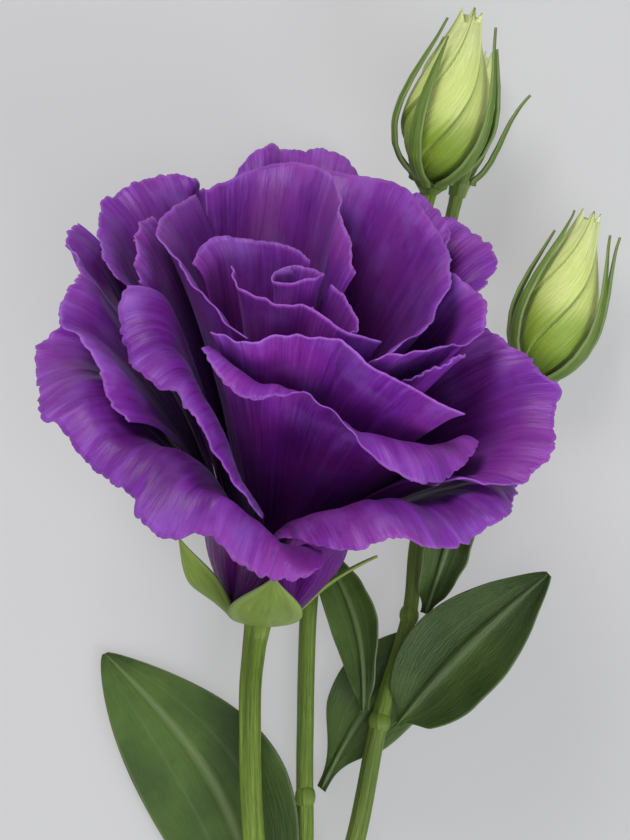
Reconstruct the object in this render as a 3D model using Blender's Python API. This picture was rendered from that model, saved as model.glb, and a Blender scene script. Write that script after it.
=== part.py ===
"""A cut lisianthus lying on a table: one open double bloom, three buds and leaves on a branching stem.

Lengths in the tables are millimetres. Plan position is measured from the bloom's receptacle:
x to the right, y along the stem towards the bloom, z up from the table.
"""
import math

import bmesh
import bpy
import numpy as np
from mathutils import Matrix, Vector

MM = 0.001
NAME = "Lisianthus"

# where the working origin (below the receptacle) stands from the middle of the whole flower
STAND_X = -10.63
STAND_Y = 15.9
STAND_Z = 0.0

# the bloom: height of its receptacle, how far its axis rises from the table and leans to the right
BLOOM_HEIGHT = 8.5
BLOOM_RISE = math.radians(37)
BLOOM_LEAN = math.radians(7)

PETAL_THICKNESS = 0.6
PETAL_SPACING = 0.95      # least distance between the middles of two petals lying on one another
CLAW_START = 1.6          # the claws begin this far above the receptacle
GAP = 0.3                 # gap kept where two pieces touch
LEAF_THICKNESS = 0.7
SEPAL_THICKNESS = 0.8

# one row of numbers per petal, from the heart outwards; every list of five runs across the blade
# az: direction of its middle, half: half the angle it spans at the rim (degrees)
# b: angle from the bloom's axis to the rim, l: distance from the receptacle to the rim
# r0: where its claw starts, curl: bend from claw to rim
# lip: how far the rim turns out, lw: width of that lip
# ruf, n, ph: height, number and phase of the rim's waves
# edge: lobes of the rim, as rows of (place across the blade, width added to the lip)
PETALS = {
    "Petal_Heart_1": dict(az=300, half=190, r0=1.3, claw=0.7, b=(1.8, 3.5, 3.3, 2.7, 3.7),
                          l=(57.5, 58.5, 60.5, 58.3, 56.8), curl=4, lip=15, lw=3, ruf=0.15),
    "Petal_Heart_2": dict(az=310, half=24, r0=1.8, claw=0.7, b=(6.5, 11, 12.7, 9.3, 4.5),
                          l=(58, 58, 58, 58.5, 59), curl=8, lip=10, lw=3, ruf=0.1),
    "Petal_Heart_3": dict(az=246, half=66, r0=2.1, claw=0.7, b=(9, 9.3, 9, 9, 16.7),
                          l=(60, 60.5, 60.5, 60.5, 60), curl=14, lip=10, lw=5, ruf=0.2),
    "Petal_Heart_4": dict(az=113, half=40, r0=1.8, claw=0.8, b=(5, 8, 12, 16.5, 16),
                          l=(57.5, 57.5, 57.3, 57.7, 56.5), curl=14, lip=(5, 10, 25, 45, 45), lw=4,
                          ruf=0.2),
    "Petal_Inner_1": dict(az=182, half=62, r0=2.7, claw=1.0, b=(29, 21.5, 15.3, 14.3, 15.3),
                          l=(61, 61, 61, 61, 60), curl=20, lip=20, lw=5, ruf=0.4, grow=1.15),
    "Petal_Inner_2": dict(az=67, half=48, r0=2.7, claw=1.0, b=(7.4, 8.5, 13, 33.5, 31.5),
                          l=(58, 60.5, 63, 64.5, 61), curl=20, lip=15, lw=6, ruf=0.4, grow=1.1),
    "Petal_Inner_3": dict(az=21, half=68, r0=2.8, claw=1.0, b=(18, 19.8, 22, 28, 35.5),
                          l=(59, 61.5, 63, 64.5, 64), curl=20, lip=20, lw=5, ruf=0.4, grow=1.2,
                          edge=((-1, 0), (-0.76, -0.4), (-0.64, -1), (-0.5, -2.3), (-0.4, -2.6),
                                (-0.33, -2), (-0.28, -0.9), (-0.1, -0.6), (0.1, -1), (0.25, -1.4),
                                (0.4, -1.2), (0.56, 0), (1, 0))),
    "Petal_Inner_4": dict(az=341, half=40, r0=3.1, claw=1.0, b=(19.5, 21, 25, 26, 22.5),
                          l=(62, 62, 62, 62, 60), curl=22, lip=20, lw=5, ruf=0.4,
                          edge=((-1, 0), (-0.4, 0.2), (-0.28, -0.9), (-0.16, -1.9), (-0.04, -2.4),
                                (0.08, -1.9), (0.2, -1.2), (0.32, -0.7), (0.44, -0.3), (0.6, 0),
                                (1, 0))),
    "Petal_Inner_5": dict(az=325, half=13, r0=2.7, claw=0.6, b=(22.5, 23.3, 24, 24.5, 24.5),
                          l=(57, 59, 60, 61, 60), curl=18, lip=10, lw=5, ruf=0.2, grow=2.0),
    "Petal_Inner_6": dict(az=273.5, half=45.5, r0=3.1, claw=1.0, b=(17.2, 15.5, 14.6, 17.4, 32),
                          l=(60, 61, 61, 61, 61), curl=18, lip=10, lw=5, ruf=0.15, grow=1.3),
    "Petal_Middle_1": dict(az=279, half=51, r0=3.7, claw=1.2, b=(18.5, 20, 20, 30.5, 36),
                           l=(60, 61, 55, 61, 56), curl=20, lip=(60, 90, 20, 110, 60),
                           lw=(5, 8, 5, 11, 7), ruf=0.5,
                           edge=((-1, -1.2), (-0.8, -0.5), (-0.6, 0), (-0.04, 0), (0.06, -1.4),
                                 (0.13, -1.0), (0.2, 0.9), (0.26, 1.6), (0.34, 1.7), (0.44, 1),
                                 (0.56, 0), (0.68, -0.4), (0.8, -0.8), (0.92, -1.6), (1, -2.4))),
    "Petal_Middle_2": dict(az=222, half=42, r0=3.7, claw=1.2, b=(20, 21, 23, 28, 38),
                           l=(62, 61, 60, 57.5, 46), curl=20, lip=(70, 100, 90, 60, 20),
                           lw=(9, 11, 10, 7, 5), ruf=0.5,
                           edge=((-1, 0), (-0.35, 0.2), (-0.2, -0.6), (-0.05, -1.0), (0.1, -1.8),
                                 (0.17, -2.8), (0.28, -1.8), (0.4, -0.8), (0.6, -0.2), (1, 0))),
    "Petal_Middle_3": dict(az=156, half=18, r0=3.7, claw=1.2, b=(25, 24, 23.5, 23, 22.5),
                           l=(60, 61.5, 62, 62, 58), curl=22, lip=20, lw=5, ruf=0.4, grow=0.9),
    "Petal_Middle_4": dict(az=50, half=20, r0=3.7, claw=1.2, b=(24, 27, 29.5, 32, 33),
                           l=(57, 62.5, 64, 64, 58), curl=25, lip=20, lw=5, ruf=0.4, grow=1.1),
    "Petal_Outer_1": dict(az=38, half=24, r0=4.7, claw=1.4, b=(27, 30, 33, 32.5, 31),
                          l=(56, 61.5, 63, 63, 58), curl=30, lip=30, lw=8, ruf=0.8, grow=1.0,
                          edge=((-1, 0), (-0.64, 0), (-0.54, -1.2), (-0.47, 0.3), (-0.42, 1.1),
                                (-0.28, 0.8), (-0.04, 1.2), (0.2, 1.1), (0.36, 0.3), (0.5, 0),
                                (1, 0))),
    "Petal_Outer_2": dict(az=87, half=21, r0=4.7, claw=1.4, b=(40.5, 42.5, 43.7, 43.2, 40.7),
                          l=(54, 66, 68.4, 67, 56), curl=30, lip=20, lw=8, ruf=0.8),
    "Petal_Outer_3": dict(az=132, half=30, r0=4.7, claw=1.4, b=(35, 36.5, 37, 34.5, 27),
                          l=(58, 64.5, 65, 63, 57), curl=30, lip=25, lw=8, ruf=0.8, grow=1.3,
                          edge=((-1, 0), (-0.2, 0), (0.1, -0.5), (0.3, -1.4), (0.5, -1.5),
                                (0.7, -1.2), (1, 0))),
    "Petal_Outer_4": dict(az=184, half=37, r0=4.7, claw=1.6, b=(29.5, 31, 31, 31, 32),
                          l=(62.5, 63.5, 63, 62, 54), curl=30, lip=25, lw=8, ruf=0.8, grow=0.95,
                          edge=((-1, 0), (-0.8, -0.3), (-0.68, -1.0), (-0.5, -1.4), (-0.35, -2.2),
                                (-0.2, -1.6), (0, 0.4), (0.2, 1.3), (0.4, 0.6), (0.7, 0), (1, 0))),
    "Petal_Outer_5": dict(az=338, half=25, r0=4.7, claw=1.0, b=(36, 42.4, 42, 36, 27),
                          l=(51, 59.5, 62.5, 61.5, 58), curl=35, lip=20, lw=10, ruf=0.8, grow=0.95,
                          edge=((-1, -0.8), (-0.88, -0.7), (-0.76, 0), (-0.66, 1.2), (-0.52, 0),
                                (-0.16, 0), (-0.04, -0.5), (0.08, -1.1), (0.2, -1), (0.26, -0.4),
                                (0.32, 1), (0.38, 1.6), (0.46, 0), (0.56, 0), (0.68, 0.9),
                                (0.8, 0.4), (1, 0))),
    "Petal_Outer_6": dict(az=303, half=35, r0=4.6, claw=1.0, b=(38, 40, 41, 42, 41),
                          l=(34, 58, 61, 60, 54), curl=30, lip=(10, 45, 60, 60, 50),
                          lw=(14, 15, 15, 14, 12), ruf=1.0, grow=0.95,
                          edge=((-1, 0), (-0.64, 0), (-0.52, -0.7), (-0.4, -1.1), (-0.28, -1.5),
                                (-0.16, 0.4), (-0.04, 0.8), (0.08, 1.1), (0.2, 0.4), (0.32, -0.4),
                                (0.44, -1), (0.56, -1.5), (0.7, -1.3), (0.85, -0.6), (1, 0))),
    "Petal_Outer_7": dict(az=223, half=54, r0=4.8, claw=1.4, b=(38, 35, 33.5, 36, 41),
                          l=(54, 61, 63, 62, 58), curl=30, lip=(30, 70, 90, 90, 80),
                          lw=(10, 15, 17, 18, 16), ruf=1.3, n=2.6, ph=1.0, grow=1.0,
                          edge=((-1, 0), (-0.92, 0.6), (-0.84, 1.8), (-0.72, 0.7), (-0.5, -0.2),
                                (-0.27, 1.2), (-0.24, -0.3), (-0.1, 0.8), (0.1, 0.1), (0.23, -0.8),
                                (0.27, 1.3), (0.36, 1.7), (0.43, 1.6), (0.52, -0.9), (0.58, -1.6),
                                (0.66, -0.1), (0.76, 0.8), (0.86, 0.6), (0.94, -0.3), (1, -1.8))),
}

EVEN_EDGE = ((-1, 0), (1, 0))

# the fine grid every petal is worked out on, and the rows and columns of it that the solid keeps
FINE_U = 50
FINE_V = 48
COLUMNS = range(0, FINE_U + 1, 5)
ROWS = (0, 7, 14, 22, 29, 35, 39, 42, 45, 48)


def bloom_matrix():
    """Turns the bloom's own frame (z along its axis) into the table's."""
    rise = math.cos(BLOOM_RISE)
    axis = Vector((math.sin(BLOOM_LEAN) * rise, math.cos(BLOOM_LEAN) * rise, math.sin(BLOOM_RISE)))
    side = Vector((1, 0, 0))
    side = (side - axis * side.dot(axis)).normalized()
    return Matrix((side, axis.cross(side), axis)).transposed().to_4x4()


def stand(x, y, z):
    """A plan position in the flower's frame, in metres."""
    return Vector((x + STAND_X, y + STAND_Y, z + STAND_Z)) * MM


# ---------------------------------------------------------------- petals

def across(value, u):
    """Value at u (-1..1) of a quantity given at five stations across the blade."""
    v = np.array(value, float) if np.ndim(value) else np.full(5, float(value))
    m = np.array([v[1] - v[0], (v[2] - v[0]) / 2, (v[3] - v[1]) / 2, (v[4] - v[2]) / 2, v[4] - v[3]])
    t = (np.clip(u, -1, 1) + 1) * 2
    i = np.minimum(t.astype(int), 3)
    f = t - i
    start = 2 * f ** 3 - 3 * f ** 2 + 1
    end = 3 * f ** 2 - 2 * f ** 3
    return start * v[i] + (f ** 3 - 2 * f ** 2 + f) * m[i] + end * v[i + 1] + (f ** 3 - f ** 2) * m[i + 1]


def chord(petal, u):
    """Slope and length of the blade that joins its claw to its rim."""
    b = np.radians(across(petal["b"], u))
    reach = across(petal["l"], u)
    bend = np.maximum(np.radians(across(petal["curl"], u)), 0.001)
    out = reach * np.sin(b) - petal["r0"]
    up = reach * np.cos(b) - CLAW_START
    return np.degrees(np.arctan2(out, up)), np.hypot(out, up) * (bend / 2) / np.sin(bend / 2)


def running_sum(slope, step):
    """Integral of slope down the rows, starting at nought."""
    total = np.cumsum((slope[1:] + slope[:-1]) / 2 * step, axis=0)
    return np.vstack([np.zeros((1, slope.shape[1])), total])


def petal_sheet(petal):
    """Middle sheet of one petal in the bloom's frame, rows from claw to rim."""
    u = np.linspace(-1, 1, FINE_U + 1)[None, :]
    v = np.linspace(0, 1, FINE_V + 1)[:, None]
    slope, length = chord(petal, u)
    curl = across(petal["curl"], u)
    lip_width = np.maximum(across(petal["lw"], u), 0.1)
    turn = np.clip(1 - (1 - v) * length / lip_width, 0, 1)
    angle = slope + curl * (v - 0.5) + across(petal["lip"], u) * (turn * turn * (3 - 2 * turn))
    upright = np.clip(v * 6, 0, 1)
    angle = angle * upright + np.clip(slope - curl / 2, 0, 12) * (1 - upright)
    angle = np.radians(angle)
    step = length / FINE_V
    lobe = np.interp(u, *zip(*petal.get("edge", EVEN_EDGE))) * turn
    radius = petal["r0"] + running_sum(np.sin(angle), step) + lobe * np.sin(angle[-1])
    height = CLAW_START + running_sum(np.cos(angle), step) + lobe * np.cos(angle[-1])
    # azimuth: the blade widens from a narrow claw and wraps round the axis
    mid_slope, mid_length = (float(a[0]) for a in chord(petal, np.array([0.0])))
    mid_curl = float(across(petal["curl"], np.array([0.0]))[0])
    mid = np.radians(mid_slope + mid_curl * (v - 0.5))
    mid_radius = np.maximum(petal["r0"] + running_sum(np.sin(mid), mid_length / FINE_V), 1.0)
    rim_half_width = math.radians(petal["half"]) * mid_radius[-1, 0]
    half_width = petal["claw"] + (rim_half_width - petal["claw"]) * v ** petal.get("grow", 1.3)
    turn_round = math.radians(petal["az"]) + u * half_width / mid_radius
    # waves that grow towards the rim
    near_rim = np.clip(1 - (1 - v) * length / (2.6 * np.maximum(lip_width, 5)), 0, 1) ** 1.6
    wave = petal["ruf"] * np.sin(math.pi * petal.get("n", 3) * u + petal.get("ph", 0.0))
    wave = wave + 0.15 * np.sin(math.pi * 8 * u + 1.0)
    radius = radius + near_rim * wave * np.cos(angle)
    height = height - near_rim * wave * np.sin(angle)
    return np.stack([radius * np.cos(turn_round), radius * np.sin(turn_round), height], axis=-1)


# the space round the bloom's axis in cells: how far from the axis the petals seated so far reach
CELL_ANGLE = 180
CELL_REACH = 100
NO_PETAL = -9.0
POLE = 12.0               # the petals lean about a point this far below the receptacle
CLAW_ROWS = 8.0           # fine rows over which a claw still leans as a whole


def polar(sheet):
    """Azimuth cell, distance cell, distance and angle from the axis for each point."""
    radius = np.hypot(sheet[..., 0], sheet[..., 1])
    reach = np.hypot(radius, sheet[..., 2] + POLE)
    azimuth = np.arctan2(sheet[..., 1], sheet[..., 0]) % (2 * math.pi)
    column = (azimuth / (2 * math.pi) * CELL_ANGLE).astype(int) % CELL_ANGLE
    row = np.clip(reach, 0, CELL_REACH - 1).astype(int)
    return column, row, reach, np.arctan2(radius, sheet[..., 2] + POLE)


def grown(field, steps):
    """Largest value among each point's neighbours, repeated."""
    for _ in range(steps):
        p = np.pad(field, 1, mode="edge")
        rows, columns = field.shape
        field = np.max([p[i:i + rows, j:j + columns] for i in range(3) for j in range(3)], axis=0)
    return field


def smoothed(field, steps):
    """Mean of each point's neighbours, repeated."""
    for _ in range(steps):
        p = np.pad(field, 1, mode="edge")
        field = sum(p[i:i + field.shape[0], j:j + field.shape[1]] for i in range(3) for j in range(3)) / 9
    return field


def seat_petals():
    """All petal sheets, each leant outwards just enough to clear the ones inside it."""
    taken = np.full((CELL_ANGLE, CELL_REACH), NO_PETAL)
    claw = np.clip(1 - np.arange(FINE_V + 1) / CLAW_ROWS, 0, 1)[:, None]
    sheets = {}
    for name, petal in PETALS.items():
        sheet = petal_sheet(petal)
        for _ in range(3):
            column, row, reach, angle = polar(sheet)
            around = np.max([np.roll(taken, (i, j), (0, 1)) for i in (-1, 0, 1) for j in (-1, 0, 1)], axis=0)
            need = around[column, row] + PETAL_SPACING / reach
            push = smoothed(grown(np.clip(need - angle, 0, 0.5), 2), 2)
            push = push.max(axis=1, keepdims=True) * claw + push * (1 - claw)
            if push.max() < 1e-4:
                break
            sheet = lean_out(sheet, push)
        sheets[name] = sheet
        column, row, reach, angle = polar(refined(sheet))
        np.maximum.at(taken, (column, row), angle)
    return sheets


def lean_out(sheet, push):
    """Turns every point away from the axis by its own small angle."""
    radius = np.hypot(sheet[..., 0], sheet[..., 1])
    reach = np.hypot(radius, sheet[..., 2] + POLE)
    angle = np.arctan2(radius, sheet[..., 2] + POLE) + push
    scale = reach * np.sin(angle) / np.maximum(radius, 1e-6)
    return np.stack([sheet[..., 0] * scale, sheet[..., 1] * scale, reach * np.cos(angle) - POLE], axis=-1)


def refined(sheet):
    """The sheet with three more points between neighbours, so that no cell is missed."""
    rows = np.linspace(0, sheet.shape[0] - 1, 4 * (sheet.shape[0] - 1) + 1)
    i = np.minimum(rows.astype(int), sheet.shape[0] - 2)
    f = (rows - i)[:, None, None]
    sheet = sheet[i] * (1 - f) + sheet[i + 1] * f
    columns = np.linspace(0, sheet.shape[1] - 1, 4 * (sheet.shape[1] - 1) + 1)
    j = np.minimum(columns.astype(int), sheet.shape[1] - 2)
    g = (columns - j)[None, :, None]
    return sheet[:, j] * (1 - g) + sheet[:, j + 1] * g


# ---------------------------------------------------------------- solids

def sheet_normals(sheet):
    """Unit normals of a sheet given as rows and columns of points."""
    across_u = np.gradient(sheet, axis=1)
    along_v = np.gradient(sheet, axis=0)
    normal = np.cross(across_u, along_v)
    return normal / np.maximum(np.linalg.norm(normal, axis=-1, keepdims=True), 1e-9)


def blade(name, sheet, thickness, material):
    """A closed blade of even thickness, both faces split into the same triangles."""
    rows, columns, _ = sheet.shape
    half = sheet_normals(sheet) * (np.broadcast_to(thickness, (rows, columns))[..., None] / 2)
    points = np.concatenate([(sheet + half).reshape(-1, 3), (sheet - half).reshape(-1, 3)]) * MM
    mesh = bmesh.new()
    verts = [mesh.verts.new(p) for p in points.tolist()]
    under = rows * columns
    for i in range(rows - 1):
        for j in range(columns - 1):
            a, b = i * columns + j, i * columns + j + 1
            c, d = b + columns, a + columns
            for tri in ((a, b, c), (a, c, d)):
                mesh.faces.new([verts[k] for k in tri])
                mesh.faces.new([verts[k + under] for k in reversed(tri)])
    ring = [j for j in range(columns)]
    ring += [i * columns + columns - 1 for i in range(1, rows)]
    ring += [(rows - 1) * columns + j for j in range(columns - 2, -1, -1)]
    ring += [i * columns for i in range(rows - 2, 0, -1)]
    for a, b in zip(ring, ring[1:] + ring[:1]):
        mesh.faces.new([verts[a], verts[a + under], verts[b + under]])
        mesh.faces.new([verts[a], verts[b + under], verts[b]])
    bmesh.ops.recalc_face_normals(mesh, faces=mesh.faces)
    return new_object(name, mesh, material)


def new_object(name, mesh, material):
    """An object of the flower's collection from a bmesh."""
    data = bpy.data.meshes.new(name)
    mesh.to_mesh(data)
    mesh.free()
    obj = bpy.data.objects.new(name, data)
    data.materials.append(material)
    bpy.data.collections[NAME].objects.link(obj)
    return obj


def fuse(name, pieces, material):
    """One body from overlapping pieces."""
    cutters = bpy.data.collections["Cutters"]
    body = pieces[0]
    body.name = name
    body.data.name = name
    for piece in pieces[1:]:
        for owner in list(piece.users_collection):
            owner.objects.unlink(piece)
        cutters.objects.link(piece)
        piece.display_type = "WIRE"
    union = body.modifiers.new("Fuse", "BOOLEAN")
    union.operation = "UNION"
    union.solver = "MANIFOLD"
    union.operand_type = "COLLECTION"
    union.collection = cutters
    bpy.context.view_layer.update()
    depsgraph = bpy.context.evaluated_depsgraph_get()
    fused = bpy.data.meshes.new_from_object(body.evaluated_get(depsgraph))
    body.modifiers.clear()
    body.data = fused
    for piece in list(cutters.objects):
        bpy.data.objects.remove(piece)
    clean = bmesh.new()
    clean.from_mesh(fused)
    bmesh.ops.remove_doubles(clean, verts=clean.verts, dist=0.000004)
    bmesh.ops.dissolve_degenerate(clean, edges=clean.edges, dist=0.000002)
    bmesh.ops.triangulate(clean, faces=clean.faces)
    clean.to_mesh(fused)
    clean.free()
    fused.materials.clear()
    fused.materials.append(material)
    return body


def smooth_path(points, steps):
    """Points of a smooth curve through rows of (x, y, z, radius)."""
    p = np.array(points, float)
    p = np.vstack([2 * p[0] - p[1], p, 2 * p[-1] - p[-2]])
    out = []
    for i in range(1, len(p) - 2):
        for k in range(steps):
            t = k / steps
            out.append(0.5 * (2 * p[i] + (p[i + 1] - p[i - 1]) * t
                              + (2 * p[i - 1] - 5 * p[i] + 4 * p[i + 1] - p[i + 2]) * t * t
                              + (3 * p[i] - p[i - 1] - 3 * p[i + 1] + p[i + 2]) * t ** 3))
    out.append(p[-2])
    return out


def stalk(name, points, material, steps=2):
    """A round stalk along a path, closed at both ends."""
    curve = bpy.data.curves.new(name, "CURVE")
    curve.dimensions = "3D"
    curve.bevel_depth = MM
    curve.bevel_resolution = 2
    curve.use_fill_caps = True
    path = smooth_path(points, steps)
    spline = curve.splines.new("POLY")
    spline.points.add(len(path) - 1)
    for knot, (x, y, z, radius) in zip(spline.points, path):
        knot.co = (*stand(x, y, z), 1)
        knot.radius = radius
    guide = bpy.data.objects.new(name, curve)
    bpy.data.collections[NAME].objects.link(guide)
    bpy.context.view_layer.update()
    data = bpy.data.meshes.new_from_object(guide.evaluated_get(bpy.context.evaluated_depsgraph_get()))
    bpy.data.objects.remove(guide)
    bpy.data.curves.remove(curve)
    mesh = bmesh.new()
    mesh.from_mesh(data)
    bmesh.ops.remove_doubles(mesh, verts=mesh.verts, dist=0.00001)
    bmesh.ops.recalc_face_normals(mesh, faces=mesh.faces)
    bpy.data.meshes.remove(data)
    return new_object(name, mesh, material)


def knob(name, centre, size, material):
    """A small swelling where stalks meet."""
    mesh = bmesh.new()
    bmesh.ops.create_icosphere(mesh, subdivisions=2, radius=MM)
    bmesh.ops.scale(mesh, vec=size, verts=mesh.verts)
    bmesh.ops.translate(mesh, vec=stand(*centre), verts=mesh.verts)
    return new_object(name, mesh, material)


# ---------------------------------------------------------------- stems

# rows of x, y, z, radius
FORK = (4.2, -70.0, 3.4)
MAIN_STEM = ((0.6, -118, 2.5, 2.5), (1.8, -100, 2.6, 2.45), (3.3, -84, 2.9, 2.4), (4.2, -69, 3.4, 2.2))
BLOOM_STEM = ((4.4, -74, 3.2, 1.85), (2.2, -60, 5.4, 1.75), (-0.6, -44, 6.6, 1.7), (-1.7, -30, 6.5, 1.7),
              (-1.8, -16, 5.6, 1.7), (-1.3, -9.5, 4.4, 1.8), (-0.78, -6.0, 4.3, 2.0), (-0.34, -2.8, 6.3, 2.3))
LEFT_BUD_STEM = ((4.4, -74, 3.2, 1.6), (5.4, -58, 2.2, 1.5), (6.4, -40, 1.6, 1.35), (6.5, -22, 1.5, 1.3),
                 (7.3, 0, 1.5, 1.3), (10.5, 18, 1.5, 1.25), (17, 36, 1.6, 1.2), (21.3, 47, 2.7, 1.2),
                 (23.6, 54.5, 5.4, 1.2), (24.9, 59.25, 8.9, 1.3))
THIRD_BUD_STEM = ((18.0, 38, 1.7, 1.0), (23.8, 47, 1.4, 0.95), (27.6, 53.0, 2.6, 0.95),
                  (28.9, 57.4, 4.05, 1.0), (29.24, 58.88, 4.27, 1.05))
RIGHT_BUD_STEM = ((4.4, -74, 3.2, 1.7), (9.4, -54, 3.8, 1.6), (14.3, -37, 3.8, 1.5), (17.7, -20, 3.7, 1.35),
                  (22.2, -4, 3.2, 1.15), (23.6, 8, 2.6, 1.1), (27.5, 16, 2.4, 1.1), (34.5, 20.5, 3.4, 1.1),
                  (39.0, 24.6, 5.0, 1.15), (40.55, 29.35, 5.9, 1.3))


def build_stem(material):
    pieces = [
        stalk("Main", MAIN_STEM, material),
        stalk("ToBloom", BLOOM_STEM, material),
        stalk("ToLeftBud", LEFT_BUD_STEM, material),
        stalk("ToRightBud", RIGHT_BUD_STEM, material),
        stalk("ToThirdBud", THIRD_BUD_STEM, material),
        knob("Fork", FORK, (3.0, 3.6, 2.9), material),
        knob("LowNode", (17.7, -20, 3.7), (1.75, 2.0, 1.7), material),
        knob("HighNode", (22.2, -4, 3.2), (1.5, 1.8, 1.5), material),
        knob("LeftNode", (6.5, -31.5, 1.7), (1.6, 2.0, 1.6), material),
    ]
    return fuse("Stem", pieces, material)


# ---------------------------------------------------------------- leaves

# start and end of the midrib, width, how far the midrib bows up and sideways, roll of the blade about its
# midrib (degrees), how deeply it is folded along the midrib (degrees), how far along it is widest,
# and the length of the narrow foot
LEAVES = {
    "Leaf_Left": dict(start=(0.0, -64.5, 2.3), end=(-23.9, -9.9, 0.7), width=20.5, bow=0.7, sway=-7.6,
                      roll=-3, fold=6, widest=0.58, foot=0.08),
    "Leaf_Right": dict(start=(20.6, -20.2, 4.6), end=(43.0, 2.4, 9.0), width=14.5, bow=1.2, sway=0.9,
                       roll=-10, fold=14, widest=0.42, foot=0.1),
    "Leaf_Folded": dict(start=(15.4, -18.4, 5.4), end=(8.6, 6.8, 3.9), width=7.2, bow=1.0, sway=-2.4,
                        roll=-20, fold=20, widest=0.58, foot=0.14),
    "Leaf_Stalked": dict(start=(8.9, -30.4, 1.3), end=(29.0, -6.0, 1.3), width=12.6, bow=-0.2, sway=2.4,
                         roll=0, fold=3, widest=0.56, foot=0.36),
    "Bract": dict(start=(24.6, -3.6, 4.4), end=(31.0, 20.5, 9.0), width=6.6, bow=0.6, sway=-0.5,
                  roll=0, fold=24, widest=0.5, foot=0.14),
}
LEAF_ROWS = 11
LEAF_COLUMNS = 4


def leaf_sheet(leaf):
    """Middle sheet of a leaf in the table's frame."""
    start, end = np.array(leaf["start"], float), np.array(leaf["end"], float)
    along = end - start
    length = np.linalg.norm(along)
    forward = along / length
    left = np.cross([0, 0, 1.0], forward)
    left /= np.linalg.norm(left)
    up = np.cross(forward, left)
    t = np.linspace(0, 1, LEAF_ROWS + 1)
    hump = np.sin(math.pi * t)
    midrib = start + t[:, None] * along + hump[:, None] * (leaf["bow"] * up + leaf["sway"] * left)
    k = math.log(0.5) / math.log(leaf["widest"])
    half = leaf["width"] / 2 * np.sin(math.pi * t ** k) ** 0.85
    foot = np.clip(t / leaf["foot"], 0, 1)
    foot = foot ** 2 * (3 - 2 * foot)
    half = half * foot + 0.8 * (1 - t) + 0.5 * t
    u = np.linspace(-1, 1, LEAF_COLUMNS + 1)
    roll, fold = math.radians(leaf["roll"]), math.radians(leaf["fold"])
    grid = np.zeros((LEAF_ROWS + 1, LEAF_COLUMNS + 1, 3))
    for j, s in enumerate(u):
        lift = roll + foot * fold * s * 1.2
        side = np.cos(lift)[:, None] * left + np.sin(lift)[:, None] * up
        ripple = 0.25 * np.sin(2.5 * math.pi * t + 1.3 * s) * abs(s) * hump
        grid[:, j] = midrib + (s * half)[:, None] * side + ripple[:, None] * up
    return grid


def build_leaf(name, leaf, material):
    """A leaf whose own origin is its foot."""
    foot = stand(*leaf["start"])
    obj = blade(name, leaf_sheet(leaf) - np.array(leaf["start"]), LEAF_THICKNESS, material)
    obj.location = foot
    return obj


# ---------------------------------------------------------------- calyx of the bloom

# direction, opening near the foot and at the tip, length, width, twist of the blade
BLOOM_SEPALS = ((222, 38, 25, 24.5, 5.0, -45), (270, 44, 30, 30, 11.5, 0), (347, 30, 50, 16.6, 4.8, 20),
                (52, 34, 37, 14, 5.0, 0), (130, 34, 37, 14, 5.0, 0))
SEPAL_START = 6.0
SEPAL_LOW = -1.5          # height at which the sepals leave the cup
CUP = ((-3.0, 2.2), (-2.3, 2.6), (-1.8, 3.9), (-1.5, 5.6), (-0.9, 6.6))
PISTIL = ((-2, 0.55), (12, 0.45), (15, 0.7), (16, 0.4))


def turned(name, profile, sides, material):
    """A body turned about z from (height, radius) pairs."""
    mesh = bmesh.new()
    rings = []
    for height, radius in profile:
        ring = []
        for k in range(sides):
            a = 2 * math.pi * k / sides
            ring.append(mesh.verts.new((radius * MM * math.cos(a), radius * MM * math.sin(a), height * MM)))
        rings.append(ring)
    for low, high in zip(rings, rings[1:]):
        for k in range(sides):
            n = (k + 1) % sides
            mesh.faces.new((low[k], low[n], high[n], high[k]))
    mesh.faces.new(list(reversed(rings[0])))
    mesh.faces.new(rings[-1])
    bmesh.ops.recalc_face_normals(mesh, faces=mesh.faces)
    return new_object(name, mesh, material)


def sepal_sheet(azimuth, foot, tip, length, width, twist):
    """A lance-shaped sepal leaving the cup's rim, its blade turned about its length."""
    rows = 10
    t = np.linspace(0, 1, rows)
    slope = np.radians(foot + (tip - foot) * t)[:, None]
    turn = np.radians(twist * np.minimum(1, 2 * t))[:, None]
    step = length / (rows - 1)
    radius = SEPAL_START + running_sum(np.sin(slope), step)
    height = SEPAL_LOW + running_sum(np.cos(slope), step)
    half = (width / 2 * (0.55 + 0.45 * np.sin(math.pi * t ** 0.8)) * (1 - 0.85 * t ** 3))[:, None]
    a = math.radians(azimuth)
    out, side, up = np.array([[math.cos(a), math.sin(a), 0], [-math.sin(a), math.cos(a), 0], [0, 0, 1]])
    outward = np.cos(slope) * out - np.sin(slope) * up
    across = np.cos(turn) * side + np.sin(turn) * outward
    sheet = np.zeros((rows, 3, 3))
    for j, s in enumerate((-1, 0, 1)):
        keel = 0.3 * (1 - s * s) * (1 - t[:, None])
        sheet[:, j] = (radius + keel) * out + height * up + s * half * across
    return sheet


def build_bloom_calyx(material):
    cup = turned("Cup", CUP, 20, material)
    pistil = turned("Pistil", PISTIL, 10, material)
    sepals = [blade("Sepal", sepal_sheet(*row), SEPAL_THICKNESS, material) for row in BLOOM_SEPALS]
    calyx = fuse("Calyx_Bloom", [cup, pistil] + sepals, material)
    return calyx


# ---------------------------------------------------------------- buds

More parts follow.
